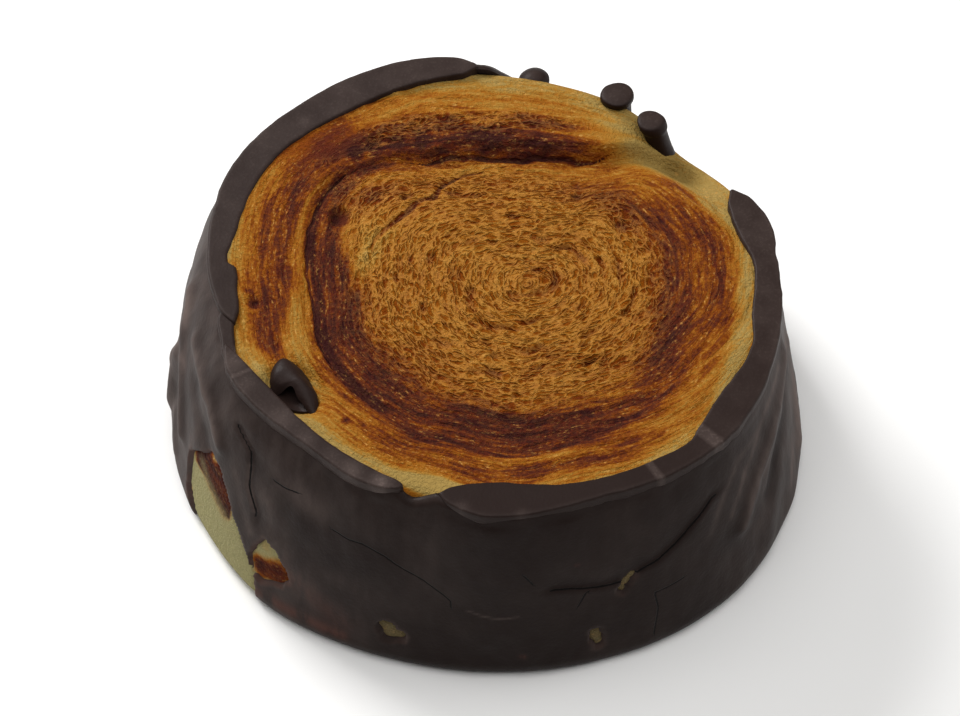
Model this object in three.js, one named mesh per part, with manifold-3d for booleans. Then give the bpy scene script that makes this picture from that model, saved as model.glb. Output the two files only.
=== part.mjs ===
// A rolled, laminated danish whose wall is coated in dark chocolate. The coated pastry set
// face down on a sheet, so the chocolate that ran to the sheet is a rim of flat lips and drips.
// Millimetres, +Z up, origin at the middle of the flat baked base. Angles are in degrees,
// counter-clockwise from +X seen from above.

import * as THREE from 'three';
import { mergeVertices } from 'three/addons/utils/BufferGeometryUtils.js';
import Module from 'manifold-3d';

const { clamp, degToRad, euclideanModulo, lerp, smoothstep } = THREE.MathUtils;
const wasm = await Module();
wasm.setup();

// ---- Driving dimensions ----

const FULL_TURN = 360;
const SEGMENTS = 96;
const WELD = 1e-4;

// The flat tops of the lips and drips lie in one plane.
const LIP_TOP = 33.5;
const LIP_THICKNESS = 2;
const LIP_ROUNDING = 0.3;
const LIP_POINTS_PER_KNOT = 3;
const COAT_THICKNESS = 1.2;
const COAT_FOOT = 0.8;
const FIT_GAP = 0.3;
const WALL_GAP = 0.45;

// The wall leans in from a wide foot to the neck just below the lips.
const NECK_HEIGHT = 31.5;
const LIP_OVERHANG = 0.9;
const COAT_OUTER_RINGS = 13;
const COAT_INNER_RINGS = 6;
const FOOT_ROUND_HEIGHT = 3;
const FOOT_ROUND_INSET = 2;
const SHOULDER_SHARE = 0.38;
const SHOULDER_POWER = 6;

// Radius of the foot, radius of the lips' outer edge, and how far the wall bulges at the
// shoulder, each round the pastry as [degrees, value].
const FOOT_RADIUS = [[0, 48.2], [60, 49], [120, 49.8], [165, 50.4], [195, 50.3], [210, 49.8],
  [231, 50.6], [256, 49.3], [285, 50.1], [313, 50.8], [335, 49.1]];
const LIP_RADIUS = [[4, 42], [12, 42.6], [21, 41.8], [45, 41.3], [75, 42.3], [93, 42.9],
  [112, 44.7], [131, 43.6], [150, 44], [172, 42.3], [189, 41.3], [206, 42.3], [229, 41],
  [246, 42.1], [256, 41.7], [271, 44], [290, 43.1], [304, 44.2], [321, 44.7], [343, 43.1]];
const SHOULDER = [[0, 0], [60, 0.5], [120, 1], [200, 1], [250, 0.5], [300, 0.4], [340, 0.1]];

// The coat's upper edge: up inside the lips, level with the crust between two of them, and
// lower round the back where only the drips reach the top.
const COAT_TOP = [[22, 32.5], [29, 28.5], [40, 26.5], [60, 27], [84, 27.5], [92, 32.5],
  [190, 32.5], [196, 32.1], [201, 32.5], [249, 32.5], [254, 31.4], [260, 32.5]];

// The lips: outer edge, then inner edge, as [degrees, radius].
const LIPS = [
  {
    outer: [[94, 42.5], [98, 43.6], [112, 44.7], [130, 43.5], [150, 44], [167, 42.8], [184, 41.1]],
    inner: [[190, 39.9], [193, 38], [183, 37.5], [178.5, 37.7], [177, 39.2], [168, 38.9],
      [145, 39.9], [126, 38.9], [111, 39.4], [96, 40.2]],
  },
  {
    outer: [[199.5, 41.2], [206, 42.3], [217, 41.8], [229, 41], [246, 42.1]],
    inner: [[251, 41.2], [250, 39.8], [240, 39], [222, 38.2], [214, 38.3], [205, 39.3],
      [200, 40.3]],
  },
  {
    outer: [[260, 42.1], [270, 43.9], [290, 43.1], [304, 44.2], [321, 44.7], [343, 43.1],
      [364, 42], [372, 42.5], [380, 41.4]],
    inner: [[383.5, 39.4], [380, 37.5], [372, 37.2], [362, 38.4], [349, 38.3], [340, 39.6],
      [325, 39.3], [314, 41.4], [302, 40.6], [286, 39.5], [271, 37.8], [264, 38.2]],
  },
];

// The drips: where each flat top lies, its radius, and how far the stem leans outwards and
// round the pastry on its way down.
const DRIPS = [
  { degrees: 81, radius: 41.3, size: 2.3, outwards: 0.8, sideways: 0 },
  { degrees: 62, radius: 40.5, size: 2.8, outwards: 1.2, sideways: 0.4 },
  { degrees: 51, radius: 39.2, size: 2.3, outwards: 1.6, sideways: -2.6 },
];
const DRIP_BOTTOM = 25.5;
const DRIP_SIDES = 16;
const DRIP_WAIST = 0.8;
const DRIP_CAP = 1.6;
const DRIP_FLARE = 1.6;

// The swirled face: its eye, its level, and the levels of its edge below the lips and round
// the open back, where the end of the outermost turn leaves a notch.
const EYE = new THREE.Vector2(5.1, -1.7);
const FACE_LEVEL = 32.4;
const FACE_RINGS = 16;
const WALL_RINGS = 6;
const RIM_ROUNDING = 1.1;
const RIM_LEVEL = [[22, 31.2], [34, 30.2], [40, 28.6], [46, 28.6], [53, 31], [60, 31.2],
  [86, 31.2], [200, 31.2], [300, 31.2]];
const RIM_SHARE = 0.9;
const RIM_BLEND = 0.06;

// The seam between the outermost turn and the coil inside it, as a share of the way from the
// eye to the rim, and how deep the coil sinks below the turn there.
const SEAM_SHARE = [[20, 1.02], [42, 0.95], [50, 0.83], [60, 0.71], [72, 0.65], [99, 0.6],
  [113, 0.6], [134, 0.71], [176, 0.7], [228, 0.74], [294, 0.73], [330, 0.84], [355, 1]];
const SEAM_DEPTH = [[0, 0.3], [20, 1], [34, 2.2], [44, 3], [60, 2.8], [90, 2.4], [113, 1.9],
  [140, 1.2], [200, 0.7], [290, 0.5], [330, 0.3]];
const SEAM_BANK = 0.07;
const SEAM_REACH = 0.24;

// Hollows in the face as centre, radius and depth: the pocket that holds the loose shard of
// chocolate, and an open air bubble.
const HOLLOWS = [
  { centre: new THREE.Vector2(-28.6, -20.6), reach: 5.2, depth: 2.4 },
  { centre: new THREE.Vector2(-19.6, 9.6), reach: 2.2, depth: 1.1 },
];

// Folds and flaps die away towards the neck and the foot over these heights.
const NECK_FADE = 2;
const FOOT_FADE = 3;

// Folds of the coat as a line of [degrees, height] points with a breadth and how far it stands
// proud, or sinks where that is negative.
const FOLDS = [
  { line: [[341, 27], [333, 24.7], [324, 19.4], [320, 14]], breadth: 2.4, proud: 0.6 },
  { line: [[351, 25], [350, 12.6], [349, 4]], breadth: 2.6, proud: -0.7 },
  { line: [[358, 20], [359, 8]], breadth: 4, proud: 0.5 },
  { line: [[176, 26], [190, 16], [194, 8]], breadth: 2.4, proud: 0.5 },
  { line: [[198, 27], [208, 23], [213, 18]], breadth: 2.2, proud: 0.5 },
  { line: [[183, 17], [182, 8]], breadth: 3, proud: 0.9 },
  { line: [[140, 25], [148, 14], [150, 6]], breadth: 4, proud: 0.6 },
  { line: [[70, 20], [78, 12], [76, 5]], breadth: 5, proud: 0.6 },
  { line: [[20, 24], [28, 15], [30, 6]], breadth: 4, proud: -0.5 },
];

// Flaps where one sheet of chocolate overlaps the next. The first has a free upper edge, as
// [degrees, height]; the second a free side edge, as [height, degrees].
const FLAP_PROUD = 0.8;
const FLAP_REACH = 8;
const FLAP_BANK = 1.2;
const FLAP_END = 4;
const UPPER_FLAP_EDGE = [[280, 15], [284, 17.4], [292, 17], [300, 19.2], [306, 21.4], [312, 25]];
const SIDE_FLAP_EDGE = [[13, 225], [17.8, 222], [19.6, 220], [26, 219], [27.4, 213]];

// Bare patches where the coat is missing, as [degrees, height] outlines.
const BARE_PATCH = [[200, 8], [203, 15], [209, 19.4], [213.5, 14.5], [218, 10], [221.5, 6.8],
  [224, 12.6], [228, 12.4], [231, 8], [236, 5], [239, -2], [203.5, -2]];
const BARE_SPOTS = [
  { degrees: 252, height: 7, radius: 1.7 },
  { degrees: 288, height: 6.2, radius: 1.4 },
  { degrees: 293.5, height: 15.4, radius: 1.1 },
];
const SPOT_SIDES = 10;
const CUT_INSIDE = 36;
const CUT_OUTSIDE = 60;

// The loose shard: a curled chip of chocolate that tapers to a tail.
const SHARD = {
  centre: new THREE.Vector2(-28.6, -20.6), heading: -60, length: 9.5, radius: 1.9, wall: 1,
  sweep: 190, tail: 0.35, rounding: 0.2, level: 31.75,
};

// ---- Measures round the pastry ----

// A smooth closed run through a few [degrees, value] pairs.
function around(pairs, degrees) {
  const count = pairs.length;
  const knot = (index) => {
    const turns = Math.floor(index / count);
    const [angle, value] = pairs[index - turns * count];
    return { angle: angle + turns * FULL_TURN, value };
  };
  const slope = (index) => {
    const before = knot(index - 1);
    const after = knot(index + 1);
    return (after.value - before.value) / (after.angle - before.angle);
  };
  const angle = pairs[0][0] + euclideanModulo(degrees - pairs[0][0], FULL_TURN);
  let index = 0;
  while (knot(index + 1).angle <= angle) {
    index += 1;
  }
  const from = knot(index);
  const to = knot(index + 1);
  const span = to.angle - from.angle;
  const t = (angle - from.angle) / span;
  const ease = t * t * (3 - 2 * t);
  const bend = slope(index) * t * (1 - t) ** 2 - slope(index + 1) * t * t * (1 - t);
  return lerp(from.value, to.value, ease) + bend * span;
}

// Straight-line reading of a table that does not close on itself.
function along(pairs, place) {
  const last = pairs.length - 1;
  const index = clamp(pairs.findIndex(([start]) => start > place), 1, last) - 1;
  const [start, low] = pairs[index];
  const [end, high] = pairs[index + 1];
  return lerp(low, high, clamp((place - start) / (end - start), 0, 1));
}

function polar(degrees, radius) {
  return new THREE.Vector2(radius, 0).rotateAround(new THREE.Vector2(), degToRad(degrees));
}

// The wall before folds: foot, leaning side and rounded shoulder.
function plainWall(degrees, height) {
  const rise = height / NECK_HEIGHT;
  const share = SHOULDER_SHARE * around(SHOULDER, degrees);
  const lean = rise * (1 - share) + share * rise ** SHOULDER_POWER;
  const neck = around(LIP_RADIUS, degrees) - LIP_OVERHANG;
  const toFloor = clamp(1 - height / FOOT_ROUND_HEIGHT, 0, 1);
  const rounding = FOOT_ROUND_INSET * (1 - Math.sqrt(1 - toFloor ** 2));
  return lerp(around(FOOT_RADIUS, degrees), neck, lean) - rounding;
}

// Distance, measured on the wall, from a point to a line of [degrees, height] points.
function distanceOnWall(line, degrees, height) {
  const scale = degToRad(plainWall(degrees, height));
  const offset = (angle) => euclideanModulo(angle - degrees + 180, FULL_TURN) - 180;
  const points = line.map(([angle, z]) => new THREE.Vector3(offset(angle) * scale, z - height, 0));
  const nearest = new THREE.Vector3();
  const origin = new THREE.Vector3();
  const distances = points.slice(1).map((point, index) => {
    new THREE.Line3(points[index], point).closestPointToPoint(origin, true, nearest);
    return nearest.length();
  });
  return Math.min(...distances);
}

function folds(degrees, height) {
  const swell = ({ line, breadth, proud }) => {
    const distance = distanceOnWall(line, degrees, height);
    return proud * Math.exp(-((distance / breadth) ** 2));
  };
  return FOLDS.reduce((sum, fold) => sum + swell(fold), 0);
}

// How far a sheet stands proud at a distance in from its free edge.
function flapLift(inwards) {
  return FLAP_PROUD * smoothstep(inwards, -FLAP_BANK / 2, FLAP_BANK / 2)
    * Math.exp(-Math.max(inwards, 0) / FLAP_REACH);
}

function flaps(degrees, height) {
  const upperStart = UPPER_FLAP_EDGE[0][0];
  const upperEnd = UPPER_FLAP_EDGE[UPPER_FLAP_EDGE.length - 1][0];
  const within = smoothstep(degrees, upperStart - FLAP_END, upperStart)
    * (1 - smoothstep(degrees, upperEnd, upperEnd + FLAP_END));
  const upper = within * flapLift(along(UPPER_FLAP_EDGE, degrees) - height);
  const sideStart = SIDE_FLAP_EDGE[0][0];
  const sideEnd = SIDE_FLAP_EDGE[SIDE_FLAP_EDGE.length - 1][0];
  const beside = smoothstep(height, sideStart - FLAP_END, sideStart)
    * (1 - smoothstep(height, sideEnd, sideEnd + FLAP_BANK));
  const wallArc = degToRad(plainWall(degrees, height));
  const side = beside * flapLift((along(SIDE_FLAP_EDGE, height) - degrees) * wallArc);
  return upper + side;
}

function coatRelief(degrees, height) {
  const fade = smoothstep(NECK_HEIGHT - height, 0, NECK_FADE) * smoothstep(height, 0, FOOT_FADE);
  return (folds(degrees, height) + flaps(degrees, height)) * fade;
}

// A share of the wall's height whose even steps crowd towards the curved shoulder.
function closerNearTop(share) {
  return Math.sin((share * Math.PI) / 2);
}

function coatTop(degrees) {
  return Math.min(around(COAT_TOP, degrees), LIP_TOP - LIP_THICKNESS / 2);
}

function pastryWall(degrees, height) {
  return plainWall(degrees, height) - COAT_THICKNESS - WALL_GAP;
}

// ---- Solids ----

// A geometry as a closed solid, its seam and poles welded and collapsed triangles dropped.
function solid(geometry) {
  geometry.deleteAttribute('normal');
  geometry.deleteAttribute('uv');
  const welded = mergeVertices(geometry, WELD);
  const index = Array.from(welded.index.array);
  const kept = [];
  for (let i = 0; i < index.length; i += 3) {
    const [a, b, c] = index.slice(i, i + 3);
    if (a !== b && b !== c && c !== a) {
      kept.push(a, b, c);
    }
  }
  const vertProperties = new Float32Array(welded.attributes.position.array);
  const mesh = new wasm.Mesh({ numProp: 3, vertProperties, triVerts: new Uint32Array(kept) });
  return new wasm.Manifold(mesh);
}

function geometryOf(manifold) {
  const { vertProperties, triVerts } = manifold.getMesh();
  const geometry = new THREE.BufferGeometry();
  geometry.setAttribute('position', new THREE.BufferAttribute(vertProperties, 3));
  geometry.setIndex(new THREE.BufferAttribute(triVerts, 1));
  geometry.computeVertexNormals();
  return geometry;
}

// A lathe whose stations are moved out of round: `place` gives station number n's true point
// at each angle.
function outOfRound(stationCount, place, closes) {
  const loop = Array.from({ length: stationCount }, (_, n) => new THREE.Vector2(1, n));
  const profile = closes ? [...loop, loop[0].clone()] : loop;
  const geometry = new THREE.LatheGeometry(profile, SEGMENTS);
  const position = geometry.attributes.position;
  for (let i = 0; i < position.count; i += 1) {
    const station = (i % profile.length) % stationCount;
    const turn = Math.floor(i / profile.length) % SEGMENTS;
    const point = place(station, (turn * FULL_TURN) / SEGMENTS);
    position.setXYZ(i, point.x, point.y, point.z);
  }
  return geometry;
}

// A flat outline of [degrees, radius] points, drawn as one smooth closed curve.
function lipShape({ outer, inner }) {
  const knots = [...outer, ...inner].map(([degrees, radius]) => polar(degrees, radius));
  const flat = knots.map((knot) => new THREE.Vector3(knot.x, knot.y, 0));
  const curve = new THREE.CatmullRomCurve3(flat, true, 'centripetal');
  const divisions = LIP_POINTS_PER_KNOT * knots.length;
  const outline = curve.getPoints(divisions).slice(0, divisions);
  return new THREE.Shape(outline.map((point) => new THREE.Vector2(point.x, point.y)));
}

function lip(edges) {
  const geometry = new THREE.ExtrudeGeometry(lipShape(edges), {
    depth: LIP_THICKNESS - 2 * LIP_ROUNDING,
    bevelEnabled: true,
    bevelThickness: LIP_ROUNDING,
    bevelSize: LIP_ROUNDING,
    bevelOffset: -LIP_ROUNDING,
    bevelSegments: 1,
  });
  geometry.translate(0, 0, LIP_TOP - LIP_THICKNESS + LIP_ROUNDING);
  return solid(geometry);
}

// A drip: a narrow stem that spreads to a flat round top. `grow` makes it larger all round.
function drip({ degrees, radius, size, outwards, sideways }, grow) {
  const height = LIP_TOP - DRIP_BOTTOM + 2 * grow;
  const waist = size * DRIP_WAIST + grow;
  const head = size + grow;
  const profile = [[0, 0], [waist, 0], [waist, height - DRIP_CAP - DRIP_FLARE],
    [head, height - DRIP_CAP],
    [head, height - LIP_ROUNDING], [head - LIP_ROUNDING, height], [0, height]];
  const points = profile.map(([x, y]) => new THREE.Vector2(x, y));
  const geometry = new THREE.LatheGeometry(points, DRIP_SIDES);
  geometry.rotateX(Math.PI / 2);
  const position = geometry.attributes.position;
  for (let i = 0; i < position.count; i += 1) {
    const down = 1 - clamp(position.getZ(i) / height, 0, 1);
    position.setX(i, position.getX(i) + outwards * down);
    position.setY(i, position.getY(i) + sideways * down);
  }
  geometry.translate(radius, 0, DRIP_BOTTOM - grow);
  geometry.rotateZ(degToRad(degrees));
  return solid(geometry);
}

// The thin wall of chocolate, out round its outer side and back down its inner side.
function coatWall() {
  const place = (station, degrees) => {
    const outside = station < COAT_OUTER_RINGS;
    const rise = outside
      ? station / (COAT_OUTER_RINGS - 1)
      : closerNearTop(1 - (station - COAT_OUTER_RINGS) / (COAT_INNER_RINGS - 1));
    const height = lerp(COAT_FOOT, coatTop(degrees), rise);
    const relief = outside ? coatRelief(degrees, height) : -COAT_THICKNESS;
    const radius = plainWall(degrees, height) + relief;
    const flat = polar(degrees, radius);
    return new THREE.Vector3(flat.x, flat.y, height);
  };
  return solid(outOfRound(COAT_OUTER_RINGS + COAT_INNER_RINGS, place, true));
}

// A cutter that reaches through the coat from outside, over an outline on the wall.
function coatCutter(middle, outline) {
  const points = outline.map(([sideways, height]) => new THREE.Vector2(sideways, height));
  const geometry = new THREE.ExtrudeGeometry(new THREE.Shape(points), {
    depth: CUT_OUTSIDE - CUT_INSIDE,
    bevelEnabled: false,
  });
  geometry.rotateX(Math.PI / 2);
  geometry.rotateZ(degToRad(90));
  geometry.translate(CUT_INSIDE, 0, 0);
  geometry.rotateZ(degToRad(middle));
  return solid(geometry);
}

function barePatchCutter() {
  const angles = BARE_PATCH.map(([degrees]) => degrees);
  const middle = (Math.min(...angles) + Math.max(...angles)) / 2;
  const outline = BARE_PATCH.map(([degrees, height]) => {
    const arc = degToRad(degrees - middle);
    return [Math.sin(arc) * plainWall(degrees, Math.max(height, COAT_FOOT)), height];
  });
  return coatCutter(middle, outline);
}

function bareSpotCutter({ degrees, height, radius }) {
  const outline = Array.from({ length: SPOT_SIDES }, (_, side) => {
    const point = polar((side * FULL_TURN) / SPOT_SIDES, radius);
    return [point.x, point.y + height];
  });
  return coatCutter(degrees, outline);
}

function chocolateCoat() {
  let coat = coatWall();
  coat = coat.subtract(barePatchCutter());
  BARE_SPOTS.forEach((spot) => {
    coat = coat.subtract(bareSpotCutter(spot));
  });
  LIPS.forEach((edges) => {
    coat = coat.add(lip(edges));
  });
  DRIPS.forEach((run) => {
    coat = coat.add(drip(run, 0));
  });
  return geometryOf(coat);
}

// Height of the swirled face at a share of the way from the eye to the rim.
function faceHeight(share, degrees, spot) {
  const toSeam = around(SEAM_SHARE, degrees) - share;
  const bank = smoothstep(toSeam, -SEAM_BANK, SEAM_BANK / 2);
  const fade = bank * smoothstep(share, 0, SEAM_REACH);
  const sink = around(SEAM_DEPTH, degrees) * fade * Math.exp(-((toSeam / SEAM_REACH) ** 2));
  const hollows = HOLLOWS.reduce((sum, { centre, reach, depth }) => (
    sum + depth * Math.exp(-((spot.distanceTo(centre) / reach) ** 4))
  ), 0);
  const rim = Math.min(around(RIM_LEVEL, degrees), LIP_TOP - LIP_THICKNESS - FIT_GAP);
  const edge = smoothstep(share, RIM_SHARE - RIM_BLEND, RIM_SHARE);
  const inner = FACE_LEVEL - sink;
  return lerp(inner, Math.min(rim, inner), edge) - hollows;
}

// The baked roll: flat base, wall just inside the coat, and the swirled face.
function pastry() {
  const rimTop = (degrees) => around(RIM_LEVEL, degrees);
  const wallCount = WALL_RINGS + 1;
  const place = (station, degrees) => {
    if (station === 0) {
      return new THREE.Vector3(EYE.x, EYE.y, 0);
    }
    if (station <= wallCount) {
      const rise = closerNearTop((station - 1) / WALL_RINGS);
      const height = (rimTop(degrees) - RIM_ROUNDING) * rise;
      const flat = polar(degrees, pastryWall(degrees, height));
      return new THREE.Vector3(flat.x, flat.y, height);
    }
    const share = 1 - (station - wallCount - 1) / FACE_RINGS;
    const rim = polar(degrees, pastryWall(degrees, rimTop(degrees)) - RIM_ROUNDING / 2);
    const spot = rim.lerp(EYE, 1 - share);
    return new THREE.Vector3(spot.x, spot.y, faceHeight(share, degrees, spot));
  };
  let roll = solid(outOfRound(wallCount + FACE_RINGS + 2, place, false));
  DRIPS.forEach((run) => {
    roll = roll.subtract(drip(run, FIT_GAP));
  });
  return geometryOf(roll);
}

// A chip of chocolate that curls over along its length.
function shard() {
  const { radius, wall, sweep, length, tail, rounding } = SHARD;
  const half = degToRad(sweep / 2);
  const curl = new THREE.Shape();
  curl.absarc(0, 0, radius - rounding, Math.PI / 2 - half, Math.PI / 2 + half, false);
  curl.absarc(0, 0, radius - wall, Math.PI / 2 + half, Math.PI / 2 - half, true);
  const geometry = new THREE.ExtrudeGeometry(curl, {
    depth: length, steps: 4, curveSegments: 8, bevelEnabled: false,
  });
  geometry.rotateX(Math.PI / 2);
  geometry.rotateZ(Math.PI / 2);
  const position = geometry.attributes.position;
  for (let i = 0; i < position.count; i += 1) {
    const taper = lerp(1, tail, (position.getX(i) / length) ** 2);
    position.setY(i, position.getY(i) * taper);
    position.setZ(i, position.getZ(i) * taper);
  }
  geometry.translate(-length / 2, 0, 0);
  geometry.rotateZ(degToRad(SHARD.heading));
  geometry.translate(SHARD.centre.x, SHARD.centre.y, SHARD.level);
  return geometryOf(solid(geometry));
}

// ---- The object ----

function piece(name, geometry, color, roughness) {
  const material = new THREE.MeshStandardMaterial({ color, roughness, metalness: 0 });
  const mesh = new THREE.Mesh(geometry, material);
  mesh.name = name;
  return mesh;
}

const danish = new THREE.Group();
danish.add(
  piece('pastry', pastry(), '#a8681f', 0.6),
  piece('chocolate_coat', chocolateCoat(), '#352b2a', 0.45),
  piece('chocolate_shard', shard(), '#2c2223', 0.4),
);

export default danish;
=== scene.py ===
"""A rolled, laminated danish with a browned swirl on its face and a coat of dark chocolate.

The baked roll, the poured wall of chocolate, its flat lips and drips, and a loose curl are each
an operator. Tables are in millimetres and in degrees counter-clockwise from +X, and every mesh
is scaled to metres when it is placed.
"""

import math
from functools import partial

import bmesh
import bpy
import numpy as np
from bpy.props import FloatProperty, FloatVectorProperty, IntProperty, PointerProperty
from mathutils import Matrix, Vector


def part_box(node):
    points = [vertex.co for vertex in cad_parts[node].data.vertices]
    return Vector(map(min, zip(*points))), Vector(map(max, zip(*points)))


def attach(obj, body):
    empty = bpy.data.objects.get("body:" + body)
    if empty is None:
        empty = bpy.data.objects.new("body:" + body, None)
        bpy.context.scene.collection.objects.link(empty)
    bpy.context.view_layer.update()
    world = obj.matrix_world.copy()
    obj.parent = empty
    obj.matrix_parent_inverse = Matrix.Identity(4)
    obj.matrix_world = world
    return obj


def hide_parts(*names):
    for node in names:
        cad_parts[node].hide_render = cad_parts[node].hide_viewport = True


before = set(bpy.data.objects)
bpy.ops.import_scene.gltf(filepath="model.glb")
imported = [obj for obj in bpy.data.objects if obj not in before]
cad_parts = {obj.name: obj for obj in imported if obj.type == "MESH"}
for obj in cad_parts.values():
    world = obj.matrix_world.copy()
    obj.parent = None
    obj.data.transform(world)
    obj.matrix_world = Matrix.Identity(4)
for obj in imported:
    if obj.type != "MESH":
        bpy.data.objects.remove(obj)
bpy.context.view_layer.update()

bl_info = {
    "name": "Chocolate Danish",
    "version": (1, 0, 0),
    "blender": (4, 5, 0),
    "location": "3D View > Sidebar > Danish",
    "description": "Builds a rolled danish with a browned swirl face and a dark chocolate coat",
    "category": "Add Mesh",
}

MM = 0.001
FULL_TURN = 360.0
WELD = 1e-7
# Further from a line than any line reaches, in millimetres or in half widths.
FAR = 9.0
# Keeps a line of no length from a division by nothing.
TINY = 1e-9
BODY = "root"

# ---- Sizes of the solids, in millimetres ----

COAT_FOOT, LIP_TOP = (corner.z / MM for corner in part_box("chocolate_coat"))
COAT_THICKNESS = 1.2
LIP_THICKNESS = 2.0
LIP_EDGE = 0.45
NECK_PROUD = 0.1
NECK_HEIGHT = 31.5
FOOT_ROUND_HEIGHT = 3.0
FOOT_ROUND_INSET = 2.0
SHOULDER_SHARE = 0.38
SHOULDER_POWER = 6

# Round the pastry, as (degrees, millimetres): the foot of the coat, and the lips' outer edge.
FOOT_RADIUS = [(0, 48), (60, 48.8), (92, 48.7), (120, 49.4), (165, 50), (183, 49.95),
               (195, 50.2), (210, 50.2), (228, 50.6), (242, 49.7), (256, 49.2), (272, 49.2),
               (285, 49.6), (313, 50.6), (335, 49.7)]
LIP_RADIUS = [(4, 42), (12, 42.6), (21, 41.8), (45, 41.3), (75, 42.3), (93, 43.1), (108, 44.9),
              (120, 45), (131, 44.8), (143, 44.9), (152, 44.7), (164, 43.5), (176, 42.3),
              (189, 41.3), (206, 42.3), (229, 41), (246, 42.1), (256, 41.7), (271, 44),
              (290, 43.1), (304, 44.2), (321, 44.7), (343, 43.1)]
# How fully the leaning wall ends in the rounded shoulder: degrees, and 1 for fully.
SHOULDER = [(0, -0.3), (20, -0.1), (60, 0.5), (120, 1), (200, 1), (250, 0.5), (300, 0.4),
            (335, 0.15), (350, -0.25)]
# The coat's upper edge, and how ragged it is.
COAT_TOP = [(20, 33), (25, 26), (32, 21), (44, 19.5), (55, 22), (64, 26), (84, 27.5), (92, 33.2),
            (190, 33.2), (196, 32.1), (200, 33.2), (249, 33.2), (254, 31.4), (260, 33.2)]
COAT_TOP_RAGGED = 0.25

# ---- The baked roll ----

EYE = (5.1, -1.7)
FACE_LEVEL = 32.6
FACE_RADIUS = 41.0
# Leaves of dough from the eye to the rim, and how thick one is.
LEAVES = 50
LEAF = FACE_RADIUS / LEAVES
RIM_ROUND_SHARE = 0.045
RIM_ROUND_DEPTH = 1.1
RIM_REACH = 0.26
CRUST_INSET = 1.1
PATCH_BULGE = 0.65

RIM_LEVEL = [(18, 32.6), (24, 31.6), (30, 30), (37, 27.9), (44, 26.2), (49, 26.8), (53, 29.6),
             (58, 31.4), (66, 31.6), (75, 31.5), (88, 31.7), (97, 31.9), (112, 32.4), (135, 33),
             (184, 33), (192, 32.3), (200, 32.3), (208, 33), (240, 33), (256, 32.5), (266, 33),
             (300, 33), (350, 33)]

# The curve that bounds the coil inside the outermost turn, as a share of the way from the eye
# to the rim, and the seam itself: degrees, share, depth of the step in millimetres.
COIL_SHARE = [(20, 1.02), (42, 0.95), (50, 0.83), (60, 0.71), (72, 0.65), (99, 0.6),
              (113, 0.6), (134, 0.71), (176, 0.7), (228, 0.74), (294, 0.73), (330, 0.84),
              (355, 1)]
# The coil's share of the leaves, and the least share that the outermost turn is taken to have.
COIL_LAYER = 0.7
NARROWEST_TURN = 0.02
SEAM = [(-20, 1.02, 0), (0, 1.02, 0.3), (20, 1.02, 1), (42, 0.94, 3), (50, 0.83, 2.9),
        (60, 0.71, 2.7), (72, 0.65, 2.5), (99, 0.6, 2.2), (113, 0.6, 1.8), (134, 0.71, 1.2),
        (176, 0.7, 0.8), (228, 0.74, 0.7), (294, 0.73, 0.6), (317, 0.7, 0.5), (338, 0.6, 0.5),
        (366, 0.53, 0.4), (398, 0.49, 0.35), (440, 0.46, 0)]
SEAM_BANK = 0.05
SEAM_REACH = 0.2
SEAM_WANDER = 0.012
# The share at which the seam starts to run out towards the rim.
SEAM_FADE = 0.9

# Hollows of the face: degrees and share of their middle, breadth and depth in millimetres.
HOLLOWS = [(216, 0.88, 4.6, 2.6), (152.5, 0.635, 1.8, 1.2), (188, 0.89, 1.2, 0.5)]

# How far the strands leave their layer, as waves: size in millimetres, leaves, seed.
STRAND_DRIFT = [(5, 0.5, 41), (1.8, 0.3, 42)]
# Patterns that follow the swirl: how long they are in millimetres, and how broad in leaves.
RIDGES = (6, 1.7)
KNOTS = (2.6, 1.2)
OPENINGS = (3.2, 1.1)
GLAZE_STREAKS = (9, 2.4)
# One step of the swirl layer that the crust reads, in millimetres along the strands.
SWIRL_STEP = 4
# The crumbly middle ends between these shares, and swells outwards by a share round one angle:
# degrees, breadth in degrees, share.
CRUMB_EDGE = (0.48, 0.64)
CRUMB_SWELL = (141, 15, 0.13)
# How much strand and streak the crust of the wall has.
WALL_CRUMB = 0.2
WALL_STREAK = 0.3

# How brown the face is from the eye to the rim: share, browning. 0 is bare dough, 0.5 an even
# brown and 1 a caramelised seam, as everywhere below.
FACE_BROWNING = [(0, 0.5), (0.35, 0.5), (0.5, 0.53), (0.62, 0.56), (0.75, 0.5), (0.9, 0.42),
                 (1, 0.36)]
# Between these, a place comes to belong to the dark ring, which is lumpier and less streaked.
DARK_RING = (0.72, 0.95)

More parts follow.
